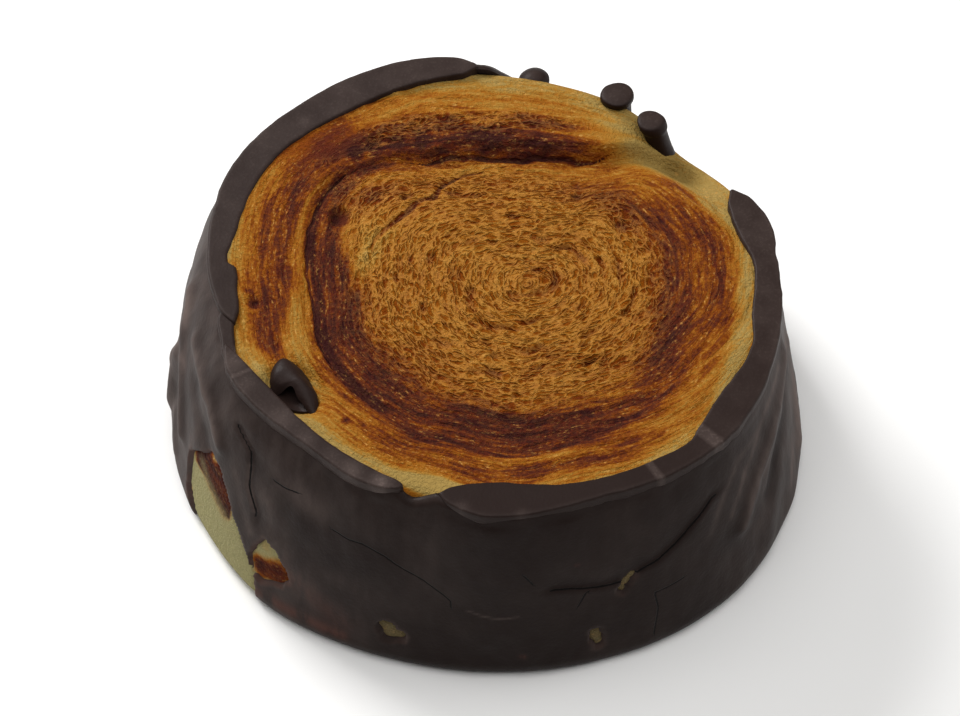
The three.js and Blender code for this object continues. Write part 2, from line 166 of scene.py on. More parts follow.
# Bands of browner or paler crust that follow the swirl: degrees, share, breadth as a share,
# and how strongly. The one at the back lies on a lumpy bank, which rises between two strengths.
BACK_BAND = [(56, 0.86, 0.02, 0), (70, 0.78, 0.04, 0.12), (86, 0.75, 0.045, 0.28),
             (104, 0.73, 0.045, 0.32), (122, 0.76, 0.045, 0.34), (138, 0.8, 0.04, 0.2),
             (150, 0.82, 0.03, 0)]
BACK_BANK = (0.05, 0.2)
NARROWEST_BAND = 0.005
BROWN_BANDS = [
    BACK_BAND,
    [(38, 0.95, 0.02, 0), (50, 0.82, 0.03, 0.04), (60, 0.73, 0.035, 0.1), (70, 0.685, 0.045, 0.2),
     (79, 0.665, 0.05, 0.34), (88, 0.66, 0.05, 0.42), (113, 0.655, 0.05, 0.42),
     (128, 0.7, 0.04, 0.32), (144, 0.7, 0.04, 0.34), (155, 0.685, 0.045, 0.36),
     (168, 0.65, 0.06, 0.36), (184, 0.622, 0.08, 0.36), (200, 0.624, 0.088, 0.36),
     (215, 0.645, 0.1, 0.35), (230, 0.665, 0.108, 0.34), (250, 0.68, 0.115, 0.34),
     (280, 0.66, 0.112, 0.34), (297, 0.69, 0.105, 0.31), (311, 0.68, 0.09, 0.28), (343, 0.6, 0.09, 0.27),
     (368, 0.6, 0.095, 0.26), (392, 0.555, 0.075, 0.2), (421, 0.5, 0.06, 0.1),
     (450, 0.46, 0.05, 0)],
    [(112, 0.93, 0.03, 0), (128, 0.87, 0.045, 0.2), (146, 0.813, 0.05, 0.3),
     (158, 0.81, 0.062, 0.32), (171, 0.806, 0.072, 0.38), (187, 0.834, 0.074, 0.42),
     (201, 0.86, 0.05, 0.36), (212, 0.875, 0.03, 0.14), (222, 0.88, 0.03, 0)],
    [(128, 0.7, 0.015, 0), (142, 0.71, 0.02, 0.4), (156, 0.7, 0.022, 0.5), (168, 0.69, 0.024, 0.52),
     (184, 0.675, 0.026, 0.52), (200, 0.68, 0.028, 0.5), (215, 0.705, 0.03, 0.46),
     (230, 0.735, 0.03, 0.43), (250, 0.745, 0.034, 0.4), (270, 0.735, 0.034, 0.38),
     (300, 0.74, 0.03, 0.34), (320, 0.7, 0.03, 0.26), (336, 0.66, 0.02, 0)],
    [(318, 0.74, 0.06, 0), (340, 0.76, 0.08, 0.18), (366, 0.78, 0.11, 0.22), (388, 0.76, 0.1, 0.18),
     (402, 0.76, 0.08, 0.08), (418, 0.7, 0.05, 0)],
    [(96, 1, 0.02, 0), (104, 0.995, 0.03, 0.4), (122, 0.99, 0.034, 0.52), (145, 0.985, 0.03, 0.5),
     (158, 0.995, 0.02, 0)],
    [(228, 0.88, 0.05, 0), (240, 0.86, 0.06, 0.16), (262, 0.87, 0.08, 0.28),
     (290, 0.88, 0.08, 0.28), (312, 0.88, 0.07, 0.18), (335, 0.88, 0.05, 0)],
    [(240, 0.62, 0.012, 0), (252, 0.6, 0.016, 0.42), (275, 0.6, 0.016, 0.4),
     (296, 0.63, 0.014, 0.36), (312, 0.62, 0.012, 0)],
]
PALE_BANDS = [
    [(146, 0.735, 0.01, 0), (160, 0.737, 0.014, 0.1), (172, 0.737, 0.022, 0.22),
     (188, 0.74, 0.026, 0.15), (204, 0.77, 0.03, 0.1), (214, 0.8, 0.03, 0.1),
     (226, 0.84, 0.025, 0)],
    [(-100, 0.93, 0.035, 0.28), (-77, 0.91, 0.035, 0.28), (-60, 0.925, 0.045, 0.34),
     (-45, 0.92, 0.055, 0.4), (-30, 0.9, 0.05, 0.36), (-17, 0.875, 0.04, 0.32),
     (2, 0.895, 0.045, 0.34), (16, 0.91, 0.06, 0.42), (36, 0.92, 0.09, 0.54), (48, 0.9, 0.09, 0.54),
     (56, 0.94, 0.1, 0.38), (66, 0.98, 0.1, 0.22), (90, 0.96, 0.09, 0.24), (112, 0.93, 0.05, 0.2),
     (130, 0.96, 0.04, 0.08), (150, 0.975, 0.035, 0.18), (166, 0.965, 0.04, 0.34),
     (178, 0.97, 0.035, 0.24), (186, 0.985, 0.035, 0.02), (198, 0.94, 0.035, 0.12),
     (208, 0.945, 0.05, 0.32), (225, 0.95, 0.045, 0.32),
     (240, 0.965, 0.045, 0.38), (260, 0.93, 0.035, 0.28)],
    # The band at the notch, 36 to 70 degrees, is pale stretched dough, made paler still as painted light
    # on a ledge that lies in shade.
    [(36, 0.86, 0.05, 0.3), (46, 0.85, 0.09, 0.56), (54, 0.84, 0.09, 0.44), (62, 0.82, 0.07, 0.22),
     (70, 0.8, 0.05, 0)],
    [(140, 0.46, 0.03, 0), (157, 0.485, 0.04, 0.28), (167, 0.51, 0.04, 0.38),
     (176, 0.535, 0.03, 0.26), (190, 0.55, 0.03, 0)],
    [(80, 0.56, 0.02, 0), (95, 0.555, 0.03, 0.12), (115, 0.55, 0.03, 0.16), (132, 0.57, 0.02, 0)],
]
# The stretched facet at the front, as a closed outline of places: degrees and share.
FACET = [(250, 0.915), (257.75, 0.9), (264.5, 0.912), (267, 0.95), (263, 0.985), (258.5, 1.0),
         (252, 0.985), (247, 0.965)]
FACET_EDGE = 0.35
# Thin open seams and creases of the face: degrees, share, half their width in millimetres.
CREASES = [
    [(52, 0.8, 0), (62, 0.69, 0.22), (85, 0.61, 0.34), (104, 0.598, 0.34), (116, 0.61, 0.2),
     (124, 0.65, 0)],
    [(128, 0.7, 0), (140, 0.72, 0.12), (151, 0.715, 0.18), (164, 0.71, 0.2), (190, 0.7, 0.18),
     (210, 0.715, 0.14), (228, 0.745, 0)],
    [(95, 0.54, 0), (100.7, 0.535, 0.16), (113, 0.505, 0.3), (119, 0.49, 0.4), (125.5, 0.46, 0.5),
     (131, 0.475, 0.45), (143.5, 0.47, 0.4), (159, 0.503, 0.24), (168, 0.5, 0)],
]
CREASE_DEPTH = 0.4
# How broad a crease's groove is, in half widths, and how far it wanders, as a share.
CREASE_GROOVE = 1.4
NARROWEST_CREASE = 0.02
CREASE_WANDER = 0.004
# Long open slots of the crumb: degrees, share, half length in millimetres.
SLOTS = [(279, 0.175, 1.9), (66.5, 0.208, 1.3), (35, 0.247, 3), (5.5, 0.113, 2.2),
         (333.75, 0.235, 1.4), (260.75, 0.415, 1.5), (279, 0.307, 2.2), (305.75, 0.43, 1.3),
         (292, 0.36, 1.8), (318, 0.33, 1.6), (246, 0.3, 1.2), (200, 0.35, 1), (178, 0.42, 0.8)]
SLOT_BREADTH = 0.45
# Places where the dough is stretched smooth: degrees, share, reach in millimetres.
SMOOTH_SPOTS = [(44, 0.85, 5), (36, 0.96, 4), (52, 0.86, 4.5), (255, 0.95, 4), (248, 0.97, 3),
                (60, 0.83, 4), (216, 0.88, 2.5), (152.5, 0.635, 1.4), (140, 0.88, 4.5),
                (132, 0.82, 4.5)]
# Dark pockets of the face: degrees, share, breadth in millimetres, strength. Those at 152.5, 185 and 188
# degrees lie in hollows and are painted shade there.
DARK_SPOTS = [(132, 0.75, 1.3, 0.34), (127, 0.73, 1.5, 0.32), (121, 0.71, 1.6, 0.3),
              (114, 0.69, 1.5, 0.25), (188, 0.89, 0.9, 0.45), (185, 0.9, 0.6, 0.3),
              (152.5, 0.635, 1.4, 0.25), (141, 0.87, 4.5, 0.15), (133, 0.82, 4.5, 0.18),
              (144, 0.62, 3.4, 0.18), (137, 0.58, 3, 0.15), (231, 0.86, 0.6, 0.5),
              (24, 0.99, 1.2, 0.6), (20, 0.995, 1.0, 0.6)]

# ---- The wall of chocolate ----

# Folds as lines of (degrees, height), their breadth, and how far they stand proud, in
# millimetres. A negative one is a furrow.
FOLDS = [
    ([(345, 28.5), (334, 25.5), (324, 20.5), (319, 14)], 1.7, 0.75),
    ([(346, 24), (341, 19.5), (333, 17), (328, 13)], 2.2, -0.9),
    ([(354, 22), (351, 13), (348, 6)], 2.6, 0.6),
    ([(358, 20), (359, 8)], 2, -0.4),
    ([(330, 12), (326, 5)], 2.5, 0.4),
    ([(178, 27), (187, 21), (192, 17), (196, 12)], 1.5, 0.8),
    ([(190, 27), (199, 27), (205, 26.5), (211, 23)], 1.4, 0.65),
    ([(197, 23), (204, 21), (209, 17)], 2, -0.6),
    ([(184, 18), (183, 13), (184.5, 8)], 2.2, 1.2),
    ([(182, 17), (181.5, 15)], 0.9, 0.5),
    ([(189, 9), (193, 5)], 1.6, 0.5),
    ([(140, 25), (148, 14), (150, 6)], 4, 0.6),
    ([(70, 20), (78, 12), (76, 5)], 5, 0.6),
    ([(20, 24), (28, 15), (30, 6)], 4, -0.5),
    ([(110, 24), (116, 14), (114, 4)], 3, -0.5),
]
# The edges of the two sheets that lie over the coat: (degrees, height) for the one above and
# (height, degrees) for the one beside. The coat drops by the sink over the bank, comes back
# over the reach, and the sheet runs out over the end.
UPPER_FLAP_EDGE = [(281, 18), (283.1, 17.7), (286.2, 16.9), (289, 16.5), (291.1, 16.2), (293, 16.2),
                   (295.5, 16.9), (299.5, 18.1), (303.9, 19.8), (306.9, 21.6), (310.1, 23.3),
                   (312, 24.6)]
SIDE_FLAP_EDGE = [(17.4, 222.8), (20.9, 220.2), (24.1, 219.5),
                  (26.4, 218.6), (27.3, 216), (28, 213.5)]
FLAP_SINK = 0.6
FLAP_REACH = 3.0
FLAP_BANK = 1.3
FLAP_END = 4.0
# How strong the small ripples are beside the long ones.
FINE_RIPPLE = 0.6
# The relief fades over these heights.
FADE_AT_NECK = 1.2
FADE_AT_FOOT = 3.0
# Grey film of the wall, paler on the sides than at the front: partly bloom, partly painted sheen.
# Degrees and how strong.
WALL_BLOOM_AND_SHEEN = [(0, 0.54), (30, 0.34), (90, 0.2), (150, 0.26), (165, 0.32), (205, 0.28),
              (222, 0.18), (240, 0.09), (270, 0.02), (310, 0.02), (325, 0.1), (345, 0.25),
              (360, 0.44)]

# Hairline cracks as lines of (degrees, height).
CRACKS = [
    [(239.7, 23.1), (243.1, 22.8), (245.8, 22.9), (250.3, 21.7), (253.8, 20.1), (257.4, 18.9),
     (260.9, 17.2), (262.5, 15.9), (262.6, 14.7)],
    [(275.4, 22), (276.8, 20.3)],
    [(304.6, 12.6), (301.8, 12.2), (298.8, 12.1)],
    [(298.8, 12.1), (299.3, 8.8), (298.2, 3.8)],
    [(286.2, 16.2), (284.8, 14)],
    [(225.7, 25.1), (228, 25.2), (231.2, 25.7)],
]
# Pale streaks where the coat was stretched or scuffed; those along the folds on the sides are also
# painted sheen. Line, breadth in millimetres, strength.
STREAKS = [
    ([(345.4, 28.7), (342, 27), (332.7, 25.5), (324, 20.9), (318.7, 14.3)], 0.8, 0.6),
    ([(350.6, 19.3), (344.2, 21), (333.1, 22.5), (327, 19)], 0.7, 0.5),
    ([(327.7, 27.9), (319.5, 27.4), (314.1, 22.7), (311, 18)], 0.7, 0.4),
    ([(340, 30), (330, 29), (321, 24), (316, 18)], 0.6, 0.5),
    ([(352, 24), (351, 14), (348, 7)], 2.4, 0.7),
    ([(342.6, 10.8), (338.1, 6)], 1.2, 0.5),
    ([(179.3, 19), (189.9, 21.6), (191.7, 16.9), (195, 13)], 0.8, 0.5),
    ([(178, 27), (186, 24), (190, 21)], 0.8, 0.45),
    ([(190.2, 27), (198.7, 27), (204.7, 26.6), (210.4, 23.1)], 0.8, 0.45),
    ([(187.1, 10.2), (188.7, 5), (196.2, 3)], 1.0, 0.35),
    ([(216.6, 21), (219, 16.6), (222, 12.9)], 0.9, 0.5),
    ([(219.3, 24.3), (219.9, 21), (222.5, 17.5)], 0.45, 0.8),
    ([(265.4, 14.5), (267.7, 13.8), (270.3, 13.3), (272.5, 13.3), (274.2, 13.5)], 0.16, 0.7),
    ([(228, 26.5), (238, 24.5)], 2.2, 0.35),
    ([(224, 20), (230, 14), (236, 10)], 2.6, 0.4),
]
# Reddish smears of thin chocolate over dough, as the streaks.
SMEARS = [
    ([(226, 2.6), (229.8, 3.2), (235.1, 3.7), (243, 3.4)], 1.1, 0.9),
    ([(231, 11), (238, 8.5), (243, 6.5)], 2, 0.4),
    ([(274.8, 4.7), (274.9, 4.8)], 0.5, 1),
    ([(284.9, 22.1), (285, 22.1)], 0.35, 1),
    ([(200, 3.4), (204, 1.8), (208, 1.4)], 0.8, 0.8),
]

# Bare patches and spots where the coat is missing: outlines of (degrees, height), and round
# spots as degrees, height and radius in millimetres.
BARE_PATCHES = [
    [(201.2, 8.6), (201, 12.8), (204.3, 15.6), (208.9, 19), (212.2, 18.4), (214.4, 16),
     (217, 13.2), (219.8, 10.6), (222.3, 7.6), (224.6, 4.4), (225, 2), (224, -2), (205, -2),
     (204.5, 1.2), (203.4, 3.2), (201.4, 5.2)],
    [(222.8, 8.6), (224, 11.2), (225.8, 13.7), (228.4, 12.6), (230.5, 10.6), (232, 8.6),
     (231, 7), (226.6, 5.4), (223.8, 5.6)],
]
BARE_SPOTS = [(251.1, 7.6, 1.25), (251.9, 6.4, 1.3), (253.4, 6.6, 0.95), (287.8, 7.6, 0.75),
              (288.1, 6.3, 0.95), (288.2, 5.1, 0.8), (295, 16.6, 0.5), (294, 15.7, 0.65),
              (293.1, 14.6, 0.65)]
# Stains on the bare crust: the line above which it is stained, and spots as degrees, height,
# breadth in millimetres and browning.
STAIN_LINE = [(198, 11.6), (204, 12.4), (208, 12.2), (212, 11), (216, 10), (220, 40), (222, 40),
              (223, 30), (240, 30)]
STAINS = [(202, 12.2, 1, 0.22), (209.5, 18.4, 0.9, 0.3), (225.6, 7.6, 2, 0.94),
          (229.4, 8.4, 2.6, 0.9), (226, 12.2, 1.3, 0.24), (201.6, 4.6, 0.9, 0.7)]
# A smear of thin chocolate across the bare crust, its breadth, its browning, and how much dough shows
# through. The spots beyond the front patches are darkened to the same tone: painted shade in these small
# pits.
FILM_LINE = [(205.5, 14.2), (208, 12.6), (211.5, 11.4), (214.5, 10.4)]
FILM_BREADTH = 0.9
SMEAR_AND_PIT_SHADE_TONE = 0.95
SMEAR_AND_PIT_SHADE_DOUGH = 0.36
FRONT_PATCHES_END = (236, 244)
BARE_DEPTH = 1.02
BARE_BANK = 0.45
# The ragged edge of what is bare, as waves: size and depth in millimetres, seed.
BARE_RAGGED = [(1.6, 0.3, 61), (0.7, 0.15, 62)]

# ---- Lips, drips and the loose curl ----

# Each lip as its outer and inner edge: degrees and radius. Both start and end at the same place.
LIPS = {
    "chocolate_lip_rear": (
        [(93, 42.6), (98, 44), (108, 44.9), (120, 45), (131, 44.8), (143, 44.9), (152, 44.7),
         (164, 43.5), (176, 42.3), (184, 41.3), (190, 40.4), (194, 39.3)],
        [(93, 41), (97, 40.2), (111, 39.6), (126, 39.1), (145, 39.9), (168, 38.9), (177, 39.1),
         (178.6, 37.8), (183, 37.5), (190, 37.6), (194, 38.2)]),
    "chocolate_lip_left": (
        [(199, 41.4), (206, 42.3), (217, 41.8), (229, 41), (240, 41.8), (246, 42.1),
         (252, 41.5)],
        [(199, 40.3), (205, 39.3), (214, 38.3), (222, 38.2), (240, 39), (252, 39.7)]),
    "chocolate_lip_gap": (
        [(190, 41), (196, 41.2), (203, 41.9)], [(190, 38.4), (196, 39), (203, 39.8)]),
    "chocolate_lip_front": (
        [(258.5, 40.6), (261, 41.9), (265, 43.1), (270, 43.9), (290, 43.1), (304, 44.2),
         (321, 44.7), (343, 43.1), (364, 42), (372, 42.5), (380, 41.5), (384.5, 40)],
        [(258.5, 40.3), (261, 39.2), (265, 38.3), (271, 37.8), (286, 39.5), (302, 40.6),
         (312, 41.3), (316, 40.4), (325, 39.3), (340, 39.6), (349, 38.3), (362, 38.4),
         (372, 37.2), (380, 37.5), (384.5, 38.6)]),
}
LIP_END_ROUNDING = 2.4
# How far below the others a lip lies.
LIP_DROPS = {"chocolate_lip_gap": 0.4}
LIP_WOBBLE = 0.07
LIP_UNEVENNESS = 0.05
LIP_STEP = 0.3
# Grey film of the lips, paler at the back and right: partly bloom, partly painted sheen. Degrees and how
# strong.
LIP_BLOOM_AND_SHEEN = [(90, 0.2), (150, 0.16), (190, 0.1), (210, 0.1), (250, 0.08), (262, 0.02),
             (300, 0.03), (330, 0.1), (350, 0.18), (385, 0.18)]
# Marks across the lips where two runs of chocolate met: degrees, half their breadth in mm.
LIP_MARKS = [(315.3, 0.95), (302, 0.5), (207.5, 0.3)]
LIP_MARK_EDGE = 0.15
# Scuffed, dusty places of the lips: degrees, radius, breadth in millimetres, strength.
LIP_SCUFFS = [(247.4, 41.2, 1.5, 1), (241, 41, 1.6, 0.55), (236, 40.6, 1.4, 0.3),
              (222, 40.6, 2, 0.5), (229, 40.4, 1.5, 0.4), (204, 41, 1.9, 0.5),
              (210, 40.8, 1.6, 0.3), (134, 41.6, 1.1, 0.4), (264, 42.4, 0.9, 0.35),
              (275, 43.6, 0.8, 0.3)]

# Each drip: place and radius of its flat top in mm, its level, how far the top's edge hangs
# below its middle, and how far its foot leans outwards and round.
DRIPS = [
    {"degrees": 81, "radius": 42, "size": 2.5, "level": 31.5, "dome": 1.1, "lean": (0.6, 0)},
    {"degrees": 61.5, "radius": 40.6, "size": 2.6, "level": 33.5, "dome": 0.2, "lean": (1.2, 0.6)},
    {"degrees": 51.5, "radius": 38.8, "size": 2.2, "level": 33.5, "dome": 0.2, "lean": (0.9, -2.4)},
]
DRIP_BOTTOM = 25.5
DRIP_WAIST = 0.86
DRIP_CAP = 1.1
DRIP_FLARE = 1.2
# The rounded rim of a drip: how far in from its side, how far below its top.
DRIP_RIM = [(0, 0.5), (0.04, 0.28), (0.14, 0.12), (0.32, 0.03)]
DRIP_SWELL = 0.09

# Lines across the curl, from its start to its tail, as (x, y, z) points from its open side
# over its crest to the side that lies on the crust.
CURL_LINES = [
    [(-31.8, -16.8, 30.6), (-31.3, -15.9, 32), (-30.4, -15.2, 32.3), (-29.4, -15, 31.4)],
    [(-32.4, -18.3, 30.4), (-31.6, -17.1, 32.6), (-29.9, -15.9, 33), (-28.4, -15.9, 31.5)],
    [(-32.3, -20.1, 30.4), (-31.3, -18.8, 33), (-29.1, -17.2, 33.3), (-27.3, -17.2, 31.6)],
    [(-31.2, -21.2, 30.9), (-30.4, -20.1, 32.8), (-28.5, -18.6, 33.4), (-26.5, -18.6, 31.7)],
    [(-28.9, -20.7, 32.9), (-28.3, -20.2, 33.4), (-27.2, -19.9, 33.3), (-25.8, -20, 31.7)],
    [(-27.9, -22.2, 32.1), (-27.3, -22, 32.8), (-26.3, -21.6, 32.9), (-25.1, -21.8, 31.6)],
    [(-25.9, -24.9, 31.4), (-25.7, -24.9, 31.7), (-25.3, -24.9, 31.7), (-25, -24.9, 31.4)],
]
# The end of the curl that lies under it on the crust. It closes the curl's hollow with dark chocolate,
# which partly stands in for the shade inside the hollow.
CURL_SHADE_FLOOR = [
    [(-32.6, -16.6, 31), (-30.8, -16.2, 30.6), (-29.6, -16, 30.6), (-28.2, -16, 31)],
    [(-33.2, -19.4, 31.4), (-30.8, -19, 30.3), (-28.6, -18.6, 30.2), (-26.8, -18.4, 31)],
    [(-32.4, -21.8, 31.9), (-30, -21.9, 30.4), (-28, -21.8, 30.2), (-25.8, -21.2, 31)],
    [(-30.6, -23.4, 31.9), (-29.2, -23.6, 30.8), (-27.4, -24, 30.6), (-25.4, -24.2, 31.1)],
]
CURL_THICKNESS = 0.55
CURL_RIPPLE = 0.07
CURL_BLOOM = 0.04


# ---- What a user would change ----

def linear(hex_colour):
    """An sRGB hex colour as linear red, green, blue and alpha."""
    values = [int(hex_colour[i:i + 2], 16) / 255 for i in (1, 3, 5)]
    turned = [v / 12.92 if v <= 0.04045 else ((v + 0.055) / 1.055) ** 2.4 for v in values]
    return (*turned, 1.0)


def colour_property(name, description, hex_colour):
    return FloatVectorProperty(name=name, description=description, subtype="COLOR", size=4,
                               min=0, max=1, default=linear(hex_colour))


def size_property(name, description, millimetres):
    return FloatProperty(name=name, description=description, default=millimetres * MM,
                         min=0, subtype="DISTANCE", unit="LENGTH", precision=5)


class DanishRollSettings(bpy.types.PropertyGroup):
    """Sizes and colours of the baked roll."""
    rounds: IntProperty(name="Segments", description="Steps round the roll", default=480, min=24)
    rings: IntProperty(name="Face rings", description="Rings from the eye to the rim",
                       default=140, min=12)
    strand_depth: size_property("Strand depth", "Height of the strands", 0.29)
    pale: colour_property("Bare dough", "Stretched dough that did not brown", "#937a43")
    golden: colour_property("Golden crust", "Lightly browned crust", "#976e2c")
    brown: colour_property("Brown crust", "Evenly browned crust", "#905817")
    toasted: colour_property("Toasted crust", "Well browned crust", "#74390c")
    red: colour_property("Red-brown crust", "Strongly browned crust", "#522214")
    dark: colour_property("Dark seam", "Caramelised seams", "#321514")
    # Strands: the colour of the dry strands, also used for the painted glints.
    strand: colour_property("Strands", "Dry flakes that stand proud", "#bd8c48")
    # Open cells: their deeper colour and painted shade in them.
    greasy: colour_property("Open cells", "What the open cells do to the crust", "#d4b883")
    crumb: colour_property("Pale crumb", "Greyish crumb where the coat came off", "#948d64")


class DanishCoatSettings(bpy.types.PropertyGroup):
    """Sizes and colours of the chocolate."""
    rounds: IntProperty(name="Segments", description="Steps round the wall", default=760, min=24)
    rings: IntProperty(name="Rings", description="Rings up the outside", default=88, min=8)
    ripple: size_property("Ripple", "Unevenness of the poured wall", 0.16)
    lip_rounding: size_property("Lip rounding", "Rounding of the lips' edges", 0.35)
    poured: colour_property("Poured chocolate", "The wall of the coat", "#1f1512")
    set_flat: colour_property("Flat chocolate", "Chocolate that set against a sheet", "#211613")
    # Bloom: the grey film, also used for painted sheen and painted highlights.
    bloom_and_sheen: colour_property("Bloom", "Pale film on scuffed and stretched chocolate", "#5d504b")
    smear: colour_property("Smear", "Thin chocolate over dough", "#4a2e26")
    # Cracks: the dark inside of cracks, also used for the painted shadow along the loose sheets' edges.
    crack: colour_property("Cracks", "The dark inside of cracks", "#080403")


class DanishStageSettings(bpy.types.PropertyGroup):
    """Camera and floor."""
    elevation: FloatProperty(name="Elevation", description="Height of the camera above the floor",
                             default=math.radians(52), subtype="ANGLE", unit="ROTATION")
    distance: size_property("Distance", "From the camera to the middle of the view", 450)
    lens: FloatProperty(name="Lens", description="Focal length in millimetres", default=112.5)
    target: FloatVectorProperty(name="Target", description="Middle of the view",
                                subtype="TRANSLATION", default=(-0.0019, -0.004, 0.018))
    floor: colour_property("Floor", "Pale paper under the pastry", "#f4f3f1")


SETTINGS = {
    "danish_roll": DanishRollSettings,
    "danish_coat": DanishCoatSettings,
    "danish_stage": DanishStageSettings,
}


# ---- Numbers along lines and round the pastry ----

def smooth(value, low, high):
    """0 below low, 1 above high, and an even ease between them."""
    share = np.clip((value - low) / (high - low), 0, 1)
    return share * share * (3 - 2 * share)


def mix(low, high, share):
    return low + (high - low) * share


def hill(distance, reach, power=2):
    """1 at no distance, and falling off round the reach, the steeper the higher the power."""
    return np.exp(-((distance / reach) ** power))


def read(rows, place):
    """Reads a table of (place, value) rows along straight lines."""
    return np.interp(place, *np.array(rows, float).T)


def smooth_run(rows, place):
    """Reads a table of (place, value, ...) rows along a smooth line. Gives one array a value."""
    knots = np.array(rows, float)
    at, values = knots[:, 0], knots[:, 1:]
    slopes = np.zeros_like(values)
    slopes[1:-1] = (values[2:] - values[:-2]) / (at[2:] - at[:-2])[:, None]
    place = np.clip(place, at[0], at[-1])
    index = np.clip(np.searchsorted(at, place, side="right") - 1, 0, len(at) - 2)
    span = (at[index + 1] - at[index])[..., None]
    t = (place - at[index])[..., None] / span
    bend = slopes[index] * t * (1 - t) ** 2 - slopes[index + 1] * t * t * (1 - t)
    between = mix(values[index], values[index + 1], t * t * (3 - 2 * t))
    return np.moveaxis(between + bend * span, -1, 0)


def around(rows, degrees):
    """Reads a table of (degrees, value) rows that closes on itself."""
    before = [(row[0] - FULL_TURN, *row[1:]) for row in rows[-2:]]
    after = [(row[0] + FULL_TURN, *row[1:]) for row in rows[:3]]
    start = rows[0][0]
    return smooth_run(before + rows + after, start + (degrees - start) % FULL_TURN)[0]


def turns_of(rows, degrees):
    """Each turn of a spiral table that passes these angles: where it does, and its values."""
    for turn in (-1, 0, 1):
        place = degrees + turn * FULL_TURN
        yield (place >= rows[0][0]) & (place <= rows[-1][0]), smooth_run(rows, place)


def lattice_noise(points, seed):
    """Smooth noise from -1 to 1 at an array of points, the same each run for a seed."""
    cell = np.floor(points).astype(np.int64)
    ease = points - cell
    ease = ease * ease * (3 - 2 * ease)
    # Large odd numbers scatter the corners, so that neighbours and seeds have nothing in common.
    per_axis, per_seed, stir = np.array([73856093, 19349663, 83492791]), 2654435761, 1274126177
    most = 0xFFFFFF
    total = np.zeros(len(points))
    for corner in np.ndindex(2, 2, 2):
        key = ((cell + corner) * per_axis).sum(1) + seed * per_seed
        key = (key ^ (key >> 13)) * stir
        key = (key ^ (key >> 16)) & most
        weight = np.prod(np.where(corner, ease, 1 - ease), axis=1)
        total += weight * (key / (most >> 1) - 1)
    return total


def noise(x, y, z, seed, octaves=1):
    """Smooth noise at each place, with finer and weaker noise on it for each further octave. A
    place divided by a size in millimetres gives lumps of about that size."""
    points = np.stack(np.broadcast_arrays(x, y, z), 1)
    return sum(lattice_noise(points * 2 ** n, seed + n) / 2 ** n for n in range(octaves))


def wavy(waves, x, y, z):
    """The sum of some noises, from rows of (size, strength, seed)."""
    return sum(strength * noise(x / size, y / size, z / size, seed)
               for size, strength, seed in waves)


def polar(degrees, radius):
    angle = np.radians(degrees)
    return radius * np.cos(angle), radius * np.sin(angle)


def drum_noise(degrees, rise, radius, seed, octaves=1):
    """Noise round a drum. The larger its radius, the finer the noise."""
    return noise(*polar(degrees, radius), rise, seed, octaves)


# ---- The leaning wall ----

def plain_wall(degrees, height):
    """Radius of the coat's outside before folds: foot, leaning side and rounded shoulder."""
    rise = height / NECK_HEIGHT
    share = SHOULDER_SHARE * around(SHOULDER, degrees)
    lean = rise * (1 - share) + share * np.maximum(rise, 0) ** SHOULDER_POWER
    neck = around(LIP_RADIUS, degrees) + NECK_PROUD
    to_floor = np.clip(1 - height / FOOT_ROUND_HEIGHT, 0, 1)
    rounding = FOOT_ROUND_INSET * (1 - np.sqrt(1 - to_floor ** 2))
    return mix(around(FOOT_RADIUS, degrees), neck, lean) - rounding


def on_wall(line, degrees, height):
    """A line of (degrees, height) points as millimetres on the wall, seen from each place. The
    whole line lies the same way round from there, so it has no second copy behind."""
    scale = np.radians(plain_wall(degrees, height))
    first = line[0][0]
    to_first = (first - degrees + FULL_TURN / 2) % FULL_TURN - FULL_TURN / 2
    return [((to_first + angle - first) * scale, z - height) for angle, z in line]


def signed_distance(line, degrees, height):
    """Distance on the wall from each place to the line, negative on its right."""
    points = on_wall(line, degrees, height)
    nearest = np.full_like(degrees, np.inf)
    for (ax, ay), (bx, by) in zip(points, points[1:]):
        dx, dy = bx - ax, by - ay
        t = np.clip(-(ax * dx + ay * dy) / (dx * dx + dy * dy + TINY), 0, 1)
        away = np.hypot(ax + t * dx, ay + t * dy) * np.where(ax * dy - ay * dx < 0, -1, 1)
        nearest = np.where(np.abs(away) < np.abs(nearest), away, nearest)
    return nearest


def distance_to_line(line, degrees, height):
    return np.abs(signed_distance(line, degrees, height))


def depth_inside(outline, degrees, height):
    """How far inside an outline on the wall each place lies. Outside it is negative."""
    distance = distance_to_line(outline + outline[:1], degrees, height)
    points = on_wall(outline + outline[:1], degrees, height)
    inside = np.zeros(degrees.shape, bool)
    for (ax, ay), (bx, by) in zip(points, points[1:]):
        crosses = (ay > 0) != (by > 0)
        rise = np.where(by == ay, 1, by - ay)
        inside ^= crosses & (ax - ay * (bx - ax) / rise > 0)
    return np.where(inside, distance, -distance)


def bare_depth(degrees, height):
    """How far inside a bare patch or spot each place lies, with ragged edges."""
    depth = np.full_like(degrees, -FAR)
    for outline in BARE_PATCHES:
        depth = np.maximum(depth, depth_inside(outline, degrees, height))
    for angle, z, radius in BARE_SPOTS:
        (sideways, up), = on_wall([(angle, z)], degrees, height)
        depth = np.maximum(depth, radius - np.hypot(sideways, up))
    return depth + wavy(BARE_RAGGED, *polar(degrees, plain_wall(degrees, height)), height)


def flap_depths(degrees, height):
    """How far outside each loose sheet a place lies, and how fully the sheet is there."""
    start, end = UPPER_FLAP_EDGE[0][0], UPPER_FLAP_EDGE[-1][0]
    within = smooth(degrees, start - FLAP_END, start) * (1 - smooth(degrees, end, end + FLAP_END))
    upper = height - read(UPPER_FLAP_EDGE, degrees)
    low, high = SIDE_FLAP_EDGE[0][0], SIDE_FLAP_EDGE[-1][0]
    beside = smooth(height, low - FLAP_END, low) * (1 - smooth(height, high, high + FLAP_BANK))
    side = (degrees - read(SIDE_FLAP_EDGE, height)) * np.radians(plain_wall(degrees, height))
    return (upper, within), (side, beside)


